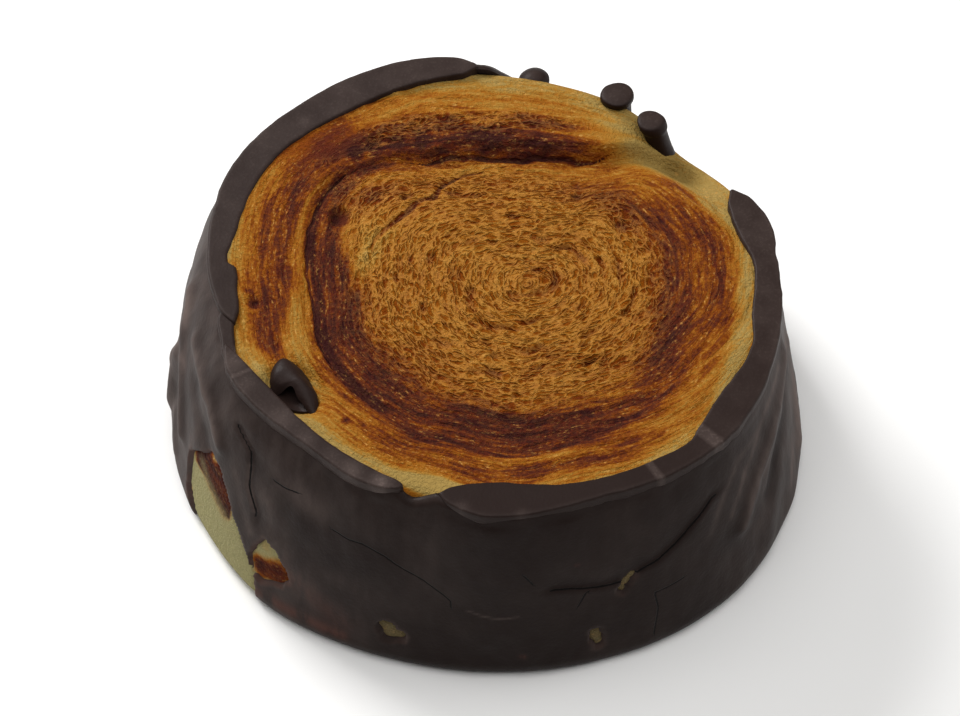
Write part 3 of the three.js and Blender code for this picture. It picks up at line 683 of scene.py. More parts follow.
def coat_relief(degrees, height, ripple):
    """Folds, overlapping sheets and ripples of the coat's outside."""
    relief = np.zeros_like(degrees)
    for line, breadth, proud in FOLDS:
        relief += proud * hill(distance_to_line(line, degrees, height), breadth)
    for outside, there in flap_depths(degrees, height):
        drop = smooth(outside, -FLAP_BANK / 2, FLAP_BANK / 2)
        relief -= there * FLAP_SINK * drop * np.exp(-np.maximum(outside, 0) / FLAP_REACH)
    sweeps = drum_noise(degrees, height / 14, 9, 11, 2)
    lumps = drum_noise(degrees, height / 5, 16, 14, 3)
    relief += ripple * (sweeps + FINE_RIPPLE * lumps)
    fade = smooth(NECK_HEIGHT - height, 0, FADE_AT_NECK) * smooth(height, 0, FADE_AT_FOOT)
    return relief * fade


def coat_top(degrees):
    ragged = COAT_TOP_RAGGED * drum_noise(degrees, 0, 12, 21, 2)
    return np.minimum(around(COAT_TOP, degrees) + ragged, LIP_TOP - LIP_EDGE)


# ---- The swirled face ----

def leaf_number(degrees, share):
    """Which leaf of the roll a place of the face lies in. Even steps are parallel layers."""
    coil = around(COIL_SHARE, degrees)
    within = COIL_LAYER * share / coil
    outside = COIL_LAYER + (1 - COIL_LAYER) * (share - coil) / np.maximum(1 - coil, NARROWEST_TURN)
    return LEAVES * np.where(share < coil, within, outside)


def banded(bands, degrees, share):
    """Strength of the strongest band at each place of the face."""
    strongest = np.zeros_like(degrees)
    for rows in bands:
        for there, (centre, breadth, strength) in turns_of(rows, degrees):
            spread = hill(np.abs(share - centre), np.maximum(breadth, NARROWEST_BAND), 3)
            strongest = np.maximum(strongest, np.where(there, strength * spread, 0))
    return strongest


def at_spot(degrees, share):
    """The place in millimetres of a share of the way from the eye to the rim."""
    rim_x, rim_y = polar(degrees, crust_radius(degrees, around(RIM_LEVEL, degrees)))
    return mix(EYE[0], rim_x, share), mix(EYE[1], rim_y, share)


def from_spot(x, y, degrees, share):
    """Distance in millimetres of each place of the face from one spot of it."""
    spot_x, spot_y = at_spot(np.array([float(degrees)]), share)
    return np.hypot(x - spot_x, y - spot_y)


def crust_radius(degrees, height):
    return plain_wall(degrees, np.minimum(height, NECK_HEIGHT)) - CRUST_INSET


def seam_sink(degrees, share, wander):
    """How far the coil sinks below the outer turn along the seam."""
    sink = np.zeros_like(degrees)
    for there, (seam, depth) in turns_of(SEAM, degrees):
        inwards = seam + wander - share
        bank = smooth(inwards, -SEAM_BANK, SEAM_BANK / 3) * smooth(share, 0, SEAM_REACH)
        sink += np.where(there, depth * bank * hill(inwards, SEAM_REACH), 0)
    return sink


def face_height(degrees, share, x, y):
    """The face without its strands: the rim's level, the seam's step and the hollows."""
    wander = SEAM_WANDER * noise(x / 3, y / 3, 0, 31)
    rim = around(RIM_LEVEL, degrees)
    level = mix(FACE_LEVEL, rim, smooth(share, 1 - RIM_REACH, 1))
    rounded = np.clip((share - 1 + RIM_ROUND_SHARE) / RIM_ROUND_SHARE, 0, 1)
    height = level - seam_sink(degrees, share, wander) * (1 - smooth(share, SEAM_FADE, 1))
    height -= RIM_ROUND_DEPTH * (1 - np.sqrt(1 - rounded ** 2))
    for angle, at_share, reach, depth in HOLLOWS:
        height -= depth * hill(from_spot(x, y, angle, at_share), reach, 4)
    return height


# ---- Mesh helpers ----

def spun(profile, steps):
    """A mesh of revolution about Z from a line of (radius, height) points, in millimetres."""
    bm = bmesh.new()
    corners = [bm.verts.new((radius, 0, height)) for radius, height in profile]
    edges = [bm.edges.new(pair) for pair in zip(corners, corners[1:])]
    bmesh.ops.spin(bm, geom=corners + edges, cent=(0, 0, 0), axis=(0, 0, 1), dvec=(0, 0, 0),
                   angle=math.tau, steps=steps, use_merge=True, use_normal_flip=False,
                   use_duplicate=False)
    bmesh.ops.remove_doubles(bm, verts=bm.verts, dist=WELD / MM)
    bmesh.ops.recalc_face_normals(bm, faces=bm.faces)
    return bm


def grid(columns, stations):
    """A flat grid, the share of its breadth at which each vertex lies, and its station."""
    bm = bmesh.new()
    bmesh.ops.create_grid(bm, x_segments=columns, y_segments=stations - 1, size=0.5)
    share, row, _ = (places(bm) + 0.5).T
    return bm, share, np.round(row * (stations - 1)).astype(int)


def unrolled(stations, rounds):
    """A grid with a column for each angle and a row for each station, and both as arrays."""
    bm, share, station = grid(rounds, stations)
    return bm, np.round(share * rounds) % rounds * FULL_TURN / rounds, station


def rolled_up(bm):
    """Welds the edges and poles that meet in a grid that was moved into place."""
    bmesh.ops.remove_doubles(bm, verts=bm.verts, dist=WELD)
    bmesh.ops.recalc_face_normals(bm, faces=bm.faces)


def places(bm):
    """The vertices' places as an array, one row each."""
    return np.array([vertex.co for vertex in bm.verts], float)


def move_to(bm, x, y, z):
    """Moves every vertex to a place given in millimetres."""
    for vertex, place in zip(bm.verts, np.stack([x, y, z], 1) * MM):
        vertex.co = place


def write_layer(bm, name, values):
    """Keeps a number, or a vector, for each vertex under a name that a material reads."""
    kinds = bm.verts.layers.float_vector if np.ndim(values) == 2 else bm.verts.layers.float
    layer = kinds.new(name)
    for vertex, value in zip(bm.verts, values):
        vertex[layer] = value


def finished(name, bm, material, slot, *stands_for):
    """Turns the mesh into a smooth shaded piece of the pastry."""
    mesh = bpy.data.meshes.new(name)
    bm.to_mesh(mesh)
    bm.free()
    mesh.shade_smooth()
    mesh.materials.append(material)
    piece = bpy.data.objects.new(name, mesh)
    bpy.context.scene.collection.objects.link(piece)
    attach(piece, BODY)
    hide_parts(*stands_for)


# ---- Materials ----

def add_node(tree, kind, inputs=(), stops=(), **settings):
    """Adds a node with its settings, its inputs set or linked, by name or in order, and a colour
    ramp's stops. A node among the inputs stands for its first output in use."""
    made = tree.nodes.new("ShaderNode" + kind)
    for name, value in settings.items():
        setattr(made, name, value)
    for name, value in inputs.items() if isinstance(inputs, dict) else enumerate(inputs):
        if isinstance(value, bpy.types.Node):
            value = next(output for output in value.outputs if output.enabled)
        if isinstance(value, bpy.types.NodeSocket):
            tree.links.new(value, made.inputs[name])
        else:
            made.inputs[name].default_value = value
    if stops:
        elements = made.color_ramp.elements
        while len(elements) < len(stops):
            elements.new(0.5)
        for element, (position, colour) in zip(elements, stops):
            element.position = position
            element.color = colour
    return made


def new_material(name):
    """An empty material, and the function that adds a node to it."""
    material = bpy.data.materials.new(name)
    material.use_nodes = True
    material.node_tree.nodes.clear()
    return material, partial(add_node, material.node_tree)


def line_reach(node, layer):
    """Distance to a line from a layer with the signed and the plain distance. The signed one
    makes the line crisp, and the plain one ends it."""
    parts = node("SeparateXYZ", (node("Attribute", attribute_name=layer).outputs["Vector"],))
    signed = node("Math", (parts.outputs["X"],), operation="ABSOLUTE")
    beyond = node("Math", (parts.outputs["Y"], 3.0, -2.0), operation="MULTIPLY_ADD")
    return node("Math", (signed, beyond), operation="MAXIMUM")


def laminated_crust(look):
    """Butter-laminated dough baked against a sheet. The cut edges of its layers dry to matt tan strands
    round small open cells, and the sugar in the seams caramelises to maroon. The cells are drawn darker
    and the strands paler, partly their own colour and partly painted shade in the cells and painted
    light on the strands; open seams and creases are darkened in part as painted shade, and the bright
    flecks are painted glints. One step of the swirl layer is 4 mm along the strands and 0.82 mm, the
    thickness of a leaf of dough, across them."""
    material, node = new_material("laminated_crust")
    swirl, browning, crumb, streak, pale_crumb = (
        node("Attribute", attribute_name=layer)
        for layer in ("swirl", "browning", "crumb", "streak", "pale_crumb"))
    swirl = swirl.outputs["Vector"]
    # Streaks of glaze about 5 mm long and 0.6 mm broad.
    along = node("Mapping", {"Vector": swirl, "Scale": (0.42, 0.42, 0.8)})
    sweeps = node("TexNoise", {"Vector": along, "Scale": 1.8, "Detail": 4.0, "Roughness": 0.62,
                               "Distortion": 0.3})
    sweep = node("MapRange", (sweeps, 0.3, 0.7, -0.5, 0.5), interpolation_type="SMOOTHSTEP")
    # The strands wave by about half a leaf, and their cells are 2.1 mm long and 0.6 mm broad.
    waving = node("Mapping", {"Vector": swirl, "Scale": (1.3, 1.3, 0.4)})
    waves = node("TexNoise", {"Vector": waving, "Scale": 1.0, "Detail": 3.0}).outputs["Color"]
    waves = node("VectorMath", (waves, (0.5, 0.5, 0.5)), operation="SUBTRACT")
    bent = node("VectorMath", (waves, (1.2, 1.2, 3.4), swirl), operation="MULTIPLY_ADD")
    bent = node("Mapping", {"Vector": bent, "Scale": (1.9, 1.9, 1.35)})
    cells = node("TexVoronoi", {"Vector": bent, "Scale": 1.0}, feature="DISTANCE_TO_EDGE")
    wall = node("MapRange", (cells, 0.0, 0.2, 1.0, 0.0), interpolation_type="SMOOTHSTEP")
    hollow = node("MapRange", (cells, 0.08, 0.36, 0.0, 1.0), interpolation_type="SMOOTHSTEP")
    # The crust's grain of 0.1 mm is too fine to show, so it is drawn at 0.6 mm.
    place = node("TexCoord").outputs["Object"]
    grains = node("TexNoise", {"Vector": place, "Scale": 1 / (0.6 * MM), "Detail": 2.0,
                               "Roughness": 0.7})
    grain = node("MapRange", (grains, 0.34, 0.66, 0.5, -0.5), interpolation_type="SMOOTHSTEP")
    # Open seams and creases, darkened: partly their browned crust, partly painted shade in the groove.
    seam = node("Math", (grain, 0.7, line_reach(node, "crease")), operation="MULTIPLY_ADD")
    seam = node("MapRange", (seam, 0.4, 1.5, 1.0, 0.0), interpolation_type="SMOOTHSTEP")
    # How brown each place is, and the colour that gives.
    swept = node("Math", (streak, 0.3), operation="MULTIPLY")
    tone = node("Math", (sweep, swept, browning), operation="MULTIPLY_ADD")
    grainy = node("MapRange", (streak, 0.1, 0.5, 0.0, 0.14))
    tone = node("Math", (grain, grainy, tone), operation="MULTIPLY_ADD")
    tone = node("Math", (seam, 0.34, tone), operation="MULTIPLY_ADD")
    crust = node("ValToRGB", (tone,), stops=[
        (0.0, look.pale), (0.2, look.golden), (0.44, look.brown), (0.62, look.toasted),
        (0.8, look.red), (1.0, look.dark)])
    # The open cells darken the crust: partly their own deeper colour, partly painted shade.
    sunk = node("Math", (hollow, crumb), operation="MULTIPLY")
    crust = node("Mix", {0: sunk, 6: crust, 7: look.greasy}, data_type="RGBA",
                 blend_type="MULTIPLY")
    # Dry strands, and painted glints: flecks from a pattern of 0.8 by 0.34 mm, in swarms where the glaze
    # is thin.
    glint_specks = node("Mapping", {"Vector": swirl, "Scale": (5.0, 5.0, 2.4)})
    glint_specks = node("TexNoise", {"Vector": glint_specks, "Scale": 1.0, "Detail": 2.0, "Roughness": 0.6})
    painted_glint = node("MapRange", (glint_specks, 0.54, 0.76, 0.0, 0.9), interpolation_type="SMOOTHSTEP")
    swarms = node("MapRange", (sweep, 0.3, -0.3, 0.0, 1.0))
    patchy = node("MapRange", (streak, 0.18, 0.36, 0.0, 1.0))
    patchy = node("Math", (patchy, swarms), operation="MULTIPLY")
    painted_glint = node("Math", (painted_glint, patchy), operation="MULTIPLY")
    dry_strand_and_glint = node("Math", (wall, 0.3), operation="MULTIPLY")
    dry_strand_and_glint = node("Math", (dry_strand_and_glint, crumb), operation="MULTIPLY")
    dry_strand_and_glint = node("Math", (dry_strand_and_glint, painted_glint), operation="MAXIMUM")
    fading = node("MapRange", (tone, 0.5, 1.0, 1.0, 0.45))
    dry_strand_and_glint = node("Math", (dry_strand_and_glint, fading), operation="MULTIPLY")
    tinted = node("Mix", {0: dry_strand_and_glint, 6: crust, 7: look.strand}, data_type="RGBA")
    washed = node("Mix", {0: pale_crumb, 6: tinted, 7: look.crumb}, data_type="RGBA")
    # Relief: cells sink, strands and streaks stand up, seams are open.
    rise = node("Math", (wall, 0.4), operation="MULTIPLY")
    rise = node("Math", (rise, hollow), operation="SUBTRACT")
    rise = node("Math", (rise, crumb), operation="MULTIPLY")
    rise = node("Math", (grain, -0.5, rise), operation="MULTIPLY_ADD")
    ribbed = node("Math", (streak, 0.5), operation="MULTIPLY")
    rise = node("Math", (sweep, ribbed, rise), operation="MULTIPLY_ADD")
    rise = node("Math", (seam, -0.8, rise), operation="MULTIPLY_ADD")
    bump = node("Bump", {"Strength": 1.0, "Distance": 0.25 * MM, "Height": rise})
    shader = node("BsdfPrincipled", {
        "Base Color": washed, "Roughness": 0.6, "Specular IOR Level": 0.02, "Normal": bump})
    node("OutputMaterial", {"Surface": shader})
    return material


def poured_chocolate(look):
    """Dark couverture, poured and left to set. It is satin, softly rippled, greyed by bloom where it was
    scuffed or stretched over a fold, and split by hairline cracks. The same grey film also lays painted
    sheen on the sides and painted highlights on the crests of the folds, and the dark line of the cracks
    also draws a painted shadow along the edges of the loose sheets."""
    material, node = new_material("poured_chocolate")
    place = node("TexCoord").outputs["Object"]
    bloom_and_sheen, smear = (node("Attribute", attribute_name=layer) for layer in ("bloom_and_sheen", "smear"))
    # Runs 2.6 mm broad and 7.4 mm high, and a grain of 0.6 mm.
    runs = node("Mapping", {"Vector": place, "Scale": (1.0, 1.0, 0.35)})
    runs = node("TexNoise", {"Vector": runs, "Scale": 1 / (2.6 * MM), "Detail": 4.0,
                             "Roughness": 0.55})
    grain = node("TexNoise", {"Vector": place, "Scale": 1 / (0.6 * MM), "Detail": 3.0,
                              "Roughness": 0.6})
    film = node("MapRange", (runs, 0.3, 0.7, 0.45, 1.15), interpolation_type="SMOOTHSTEP")
    film = node("Math", (grain, 0.3, film), operation="MULTIPLY_ADD")
    greyed = node("Math", (film, bloom_and_sheen), operation="MULTIPLY")
    colour = node("Mix", {0: greyed, 6: look.poured, 7: look.bloom_and_sheen}, data_type="RGBA")
    thin = node("MapRange", (runs, 0.35, 0.6, 0.0, 1.0), interpolation_type="SMOOTHSTEP")
    thin = node("Math", (thin, smear), operation="MULTIPLY")
    colour = node("Mix", {0: thin, 6: colour, 7: look.smear}, data_type="RGBA")
    # Dark lines: the insides of cracks, and a painted shadow along the loose sheets' edges.
    line = node("Math", (grain, 0.16, line_reach(node, "crack_and_shadow_mm")), operation="MULTIPLY_ADD")
    line = node("MapRange", (line, 0.14, 0.26, 1.0, 0.0), interpolation_type="SMOOTHSTEP")
    colour = node("Mix", {0: line, 6: colour, 7: look.crack}, data_type="RGBA")
    rise = node("Math", (runs, 0.8, grain), operation="MULTIPLY_ADD")
    rise = node("Math", (line, -1.5, rise), operation="MULTIPLY_ADD")
    bump = node("Bump", {"Strength": 0.6, "Distance": 0.1 * MM, "Height": rise})
    dull = node("MapRange", (greyed, 0.0, 1.0, 0.45, 0.65))
    shader = node("BsdfPrincipled", {
        "Base Color": colour, "Roughness": dull, "Specular IOR Level": 0.08, "Normal": bump})
    node("OutputMaterial", {"Surface": shader})
    return material


def flat_set_chocolate(look):
    """Dark couverture that set flat against a baking sheet: an even satin with a fine grain, speckled
    and paler where it was scuffed. The same pale film also lays painted sheen on the lips at the back
    and right, and painted highlights along their outer edges and on the drips' tops."""
    material, node = new_material("flat_set_chocolate")
    place = node("TexCoord").outputs["Object"]
    bloom_and_sheen = node("Attribute", attribute_name="bloom_and_sheen")
    # Clouds 3 mm across. The grain of 0.2 mm is too fine to show, so it is drawn at 0.4 mm.
    clouds = node("TexNoise", {"Vector": place, "Scale": 1 / (3 * MM), "Detail": 5.0,
                               "Roughness": 0.65})
    grain = node("TexNoise", {"Vector": place, "Scale": 1 / (0.4 * MM), "Detail": 2.0})
    speckle = node("MapRange", (grain, 0.5, 0.72, 0.0, 0.5), interpolation_type="SMOOTHSTEP")
    film = node("MapRange", (clouds, 0.3, 0.7, 0.7, 1.1), interpolation_type="SMOOTHSTEP")
    film = node("Math", (film, speckle), operation="ADD")
    greyed = node("Math", (film, bloom_and_sheen), operation="MULTIPLY")
    colour = node("Mix", {0: greyed, 6: look.set_flat, 7: look.bloom_and_sheen}, data_type="RGBA")
    bump = node("Bump", {"Strength": 0.5, "Distance": 0.06 * MM, "Height": grain})
    shader = node("BsdfPrincipled", {
        "Base Color": colour, "Roughness": 0.45, "Specular IOR Level": 0.08, "Normal": bump})
    node("OutputMaterial", {"Surface": shader})
    return material


def matt_paper(look):
    """Heavy white paper, matt, with a grain of fibres too fine to show."""
    material, node = new_material("matt_paper")
    shader = node("BsdfPrincipled", {"Base Color": look.floor, "Roughness": 0.9})
    node("OutputMaterial", {"Surface": shader})
    return material


def shared_material(make, look):
    """The material that a function makes, made once."""
    return bpy.data.materials.get(make.__name__) or make(look)


# ---- Operators ----

class DANISH_OT_roll(bpy.types.Operator):
    """Build the baked roll with its swirled face"""
    bl_idname = "danish.roll"
    bl_label = "Baked Roll"

    BASE_RINGS = 8
    WALL_RINGS = 38

    # How much of the strands is knots rather than ridges, at the rim and in the middle.
    KNOTTED = (0.3, 0.6)
    # Noise between these opens a slot. Such a slot is shallower than a placed one, and that one's
    # depth is given in strands.
    SLOT_OPENS = (0.5, 0.72)
    LOOSE_SLOT = 0.8
    SLOT_DEPTH = 2
    # Lumps of the back bank, in strands, and how fine they are beside the knots.
    BANK_LUMPS = 1.6
    LUMP_FINENESS = 0.9
    # The strands run out from this share to the rim, and within this one round the eye.
    RIM_CALM = 0.96
    EYE_CALM = 0.02
    # How much of its roughness a smooth spot or the facet loses, and the facet's faint streaks.
    SPOT_CALM = 0.85
    FACET_CALM = 0.9
    FACET_STREAKS = 0.02
    # Crumb outside the middle, which has 1, and what the back bank adds to it.
    OUTER_CRUMB = 0.16
    BANK_CRUMB = 0.7
    # Streaks of a smooth spot and of the middle, and how many the dark ring loses.
    CALM_STREAK = 0.16
    MIDDLE_STREAK = 0.4
    RING_STREAK_LOSS = 0.2
    # Browning that a slot adds and a strand takes away: partly the crust's own colour, partly painted
    # shade in the slots and painted light on the strands.
    SLOT_BROWNING = 0.22
    STRAND_PALENESS = 0.1
    # Browning of the streaks in the middle and near the rim, the shares between which they grow,
    # and browning and wander of the blotches.
    STREAK_BROWNING = (0.03, 0.14)
    STREAKS_GROW = (0.4, 0.65)
    BLOTCH_BROWNING = 0.035
    BLOTCH_WANDER = 0.008
    MOST_BROWNING = 1.05

    # The wall's crust where it is covered, bare and stained, and how streaky each is.
    COVERED_BROWNING = 0.8
    BARE_BROWNING = 0.06
    STAINED_BROWNING = 0.9
    BARE_STREAKS = 0.1
    STAIN_STREAKS = 0.15
    # Millimetres from the edge of a patch between which the crust turns bare or swells, and
    # those from the stain line between which it is stained, with how far that line wanders.
    TURNS_BARE = (-1.8, -0.8)
    SWELLS = (-0.6, 0.6)
    TURNS_STAINED = (-0.3, 0.4)
    STAIN_WANDER = 0.6
    # Pale dough shows fully below this browning, and not above that.
    DOUGH_SHOWS = (0.1, 0.5)

    def execute(self, context):
        look = context.scene.danish_roll
        bases, walls, faces = self.BASE_RINGS, self.WALL_RINGS, look.rings + 1
        shares = np.r_[np.arange(bases) / bases, np.ones(walls), np.linspace(1, 0, faces)]
        rises = np.r_[np.zeros(bases), np.arange(walls) / walls, np.ones(faces)]
        bm, degrees, station = unrolled(len(shares), look.rounds)
        share, rise = shares[station], rises[station]
        on_face = station >= bases + walls
        beside = (station >= bases) & ~on_face
        x, y = at_spot(degrees, share)
        relief = self.relief(look, degrees, share, x, y)
        creases = self.creases(degrees, np.where(on_face, share, FAR), x, y)
        z = face_height(degrees, share, x, y) + relief["height"]
        z -= CREASE_DEPTH * hill(creases[:, 1], CREASE_GROOVE)
        edge = face_height(degrees, np.ones_like(share), x, y)
        height = rise * edge
        bulge = np.where(beside, self.patch_bulge(degrees, height), 0)
        radius = crust_radius(degrees, height) + bulge
        wall_x, wall_y = polar(degrees, radius)
        base_x, base_y = polar(degrees, crust_radius(degrees, np.zeros_like(degrees)))
        x = np.where(on_face, x, np.where(beside, wall_x, mix(EYE[0], base_x, share)))
        y = np.where(on_face, y, np.where(beside, wall_y, mix(EYE[1], base_y, share)))
        z = np.where(on_face, z, np.where(beside, height, 0))
        move_to(bm, x, y, z)
        leaf = leaf_number(degrees, share) + np.where(beside, edge - height, 0)
        write_layer(bm, "swirl", np.stack([x / SWIRL_STEP, y / SWIRL_STEP, leaf], 1))
        stained, dough = self.wall_browning(degrees, height)
        write_layer(bm, "pale_crumb", np.where(beside, dough, 0))
        write_layer(bm, "browning", np.where(beside, stained, relief["browning"]))
        write_layer(bm, "crumb", np.where(on_face, relief["crumb"], WALL_CRUMB))
        write_layer(bm, "streak", np.where(on_face, relief["streak"], WALL_STREAK))
        write_layer(bm, "crease", creases)
        rolled_up(bm)
        finished("baked_roll", bm, shared_material(laminated_crust, look), "baked_pastry",
                 "pastry")
        return {"FINISHED"}

    def relief(self, look, degrees, share, x, y):
        """Strands, openings and browning of the face, as a height in millimetres and as what
        the crust's material reads."""
        leaf = leaf_number(degrees, share) + wavy(STRAND_DRIFT, x, y, 0)
        at, breadth, swell = CRUMB_SWELL
        centre = 1 - smooth(share - swell * hill(degrees - at, breadth), *CRUMB_EDGE)
        facet, calm = self.facet(x, y), self.calm(x, y)
        ridges = 1 - 2 * np.abs(self.along_swirl(RIDGES, x, y, leaf, 43))
        knots = 1 - 2 * np.abs(self.along_swirl(KNOTS, x, y, leaf, 44))
        opened = smooth(self.along_swirl(OPENINGS, x, y, leaf, 45), *self.SLOT_OPENS)
        slots = np.maximum(self.LOOSE_SLOT * opened, self.slots(x, y, leaf)) * centre
        browning = self.browning(degrees, share, x, y, leaf)
        browning = mix(browning, self.FACET_STREAKS * ridges, facet)
        dark_ring = smooth(browning, *DARK_RING)
        back_bank = smooth(banded([BACK_BAND], degrees, share), *BACK_BANK)
        calm *= 1 - self.FACET_CALM * facet
        strands = mix(ridges, knots, mix(*self.KNOTTED, centre))
        fine = self.LUMP_FINENESS
        lumps = self.along_swirl(KNOTS, x * fine, y * fine, leaf * fine, 46)
        height = strands - self.SLOT_DEPTH * slots
        height += (dark_ring + self.BANK_LUMPS * back_bank) * lumps
        ends = (1 - smooth(share, self.RIM_CALM, 1)) * smooth(share, 0, self.EYE_CALM)
        streak = mix(1 - self.RING_STREAK_LOSS * dark_ring, self.MIDDLE_STREAK, centre)
        return {
            "height": look.strand_depth / MM * height * calm * ends,
            "crumb": calm * mix(self.OUTER_CRUMB + self.BANK_CRUMB * back_bank, 1, centre),
            "streak": streak * mix(self.CALM_STREAK, 1, calm) * (1 - facet),
            "browning": browning + calm * (self.SLOT_BROWNING * slots
                                           - self.STRAND_PALENESS * strands),
        }

    def along_swirl(self, pattern, x, y, leaf, seed, octaves=1):
        """Noise that is drawn out along the strands."""
        length, leaves = pattern
        return noise(x / length, y / length, leaf / leaves, seed, octaves)

    def slots(self, x, y, leaf):
        """Long lens-shaped openings that follow the layers."""
        depth = np.zeros_like(x)
        for angle, share, half_length in SLOTS:
            away = from_spot(x, y, angle, share)
            beside = (leaf - leaf[np.argmin(away)]) * LEAF
            opening = hill(away, half_length, 4) * hill(beside, SLOT_BREADTH)
            depth = np.maximum(depth, opening)
        return depth

    def facet(self, x, y):
        """1 inside the stretched facet, 0 outside it."""
        angles, shares = np.array(FACET, float).T
        outline = list(zip(*at_spot(angles, shares)))
        depth = np.full_like(x, FAR)
        for (ax, ay), (bx, by) in zip(outline, outline[1:] + outline[:1]):
            dx, dy = bx - ax, by - ay
            depth = np.minimum(depth, (dy * (x - ax) - dx * (y - ay)) / math.hypot(dx, dy))
        return smooth(depth, 0, FACET_EDGE)

    def calm(self, x, y):
        """0 where the dough is stretched smooth, 1 where it is rough."""
        calm = np.ones_like(x)
        for angle, share, reach in SMOOTH_SPOTS:
            calm *= 1 - self.SPOT_CALM * hill(from_spot(x, y, angle, share), reach, 4)
        return calm

    def browning(self, degrees, share, x, y, leaf):
        """How brown the face is: its bands, its dark pockets, and streaks and blotches."""
        streaks = self.along_swirl(GLAZE_STREAKS, x, y, leaf, 51, 3)
        blotches = noise(x / 8, y / 8, 0, 54, 2)
        streakiness = mix(*self.STREAK_BROWNING, smooth(share, *self.STREAKS_GROW))
        brown, pale = (banded(bands, degrees, share + self.BLOTCH_WANDER * blotches)
                       for bands in (BROWN_BANDS, PALE_BANDS))
        total = read(FACE_BROWNING, share) + brown - pale
        total += streaks * streakiness + self.BLOTCH_BROWNING * blotches
        for angle, at_share, reach, strength in DARK_SPOTS:
            total += strength * hill(from_spot(x, y, angle, at_share), reach, 4)
        return np.clip(total, 0, self.MOST_BROWNING)

    def creases(self, degrees, share, x, y):
        """Distance to the nearest crease as a share of half its width: once with its side as a
        sign, once without."""
        away, reach = np.full_like(degrees, FAR), np.full_like(degrees, FAR)
        share = share + CREASE_WANDER * noise(x / 2.2, y / 2.2, 0, 33, 2)
        for rows in CREASES:
            for there, (centre, half_width) in turns_of(rows, degrees):
                signed = (share - centre) * FACE_RADIUS / np.maximum(half_width, NARROWEST_CREASE)
                nearer = there & (np.abs(signed) < reach)
                away = np.where(nearer, signed, away)
                reach = np.where(nearer, np.abs(signed), reach)
        return np.stack([away, reach, 0 * reach], 1)

    def patch_bulge(self, degrees, height):
        """The crust swells through the coat where it is bare."""
        return PATCH_BULGE * smooth(bare_depth(degrees, height), *self.SWELLS)

    def wall_browning(self, degrees, height):
        """How brown the crust of the wall is, and how much pale dough shows in it. The small bare spots
        at the front are darkened as painted shade.
        """
        bare = smooth(bare_depth(degrees, height), *self.TURNS_BARE)
        streaks = drum_noise(degrees, height / 2, 5, 71, 3)
        streaked = 1 + self.STAIN_STREAKS * streaks
        above = height - read(STAIN_LINE, degrees) + self.STAIN_WANDER * streaks
        stained = self.STAINED_BROWNING * smooth(above, *self.TURNS_STAINED)
        total = mix(self.COVERED_BROWNING, self.BARE_BROWNING, bare) + self.BARE_STREAKS * streaks
        total = np.maximum(total, stained * streaked)
        for angle, z, breadth, browning in STAINS:
            (sideways, up), = on_wall([(angle, z)], degrees, height)
            spot = hill(np.hypot(sideways, up), breadth, 4)
            total = mix(total, browning * streaked, spot)
        dough = bare * (1 - smooth(total, *self.DOUGH_SHOWS))
        film = hill(distance_to_line(FILM_LINE, degrees, height), FILM_BREADTH)
        # Beyond the front patches the bare spots take the smear's tone: painted shade in the pits.
        film = bare * np.maximum(film, smooth(degrees, *FRONT_PATCHES_END))
        return np.clip(mix(total, SMEAR_AND_PIT_SHADE_TONE, film), 0, 1), mix(dough, SMEAR_AND_PIT_SHADE_DOUGH, film)


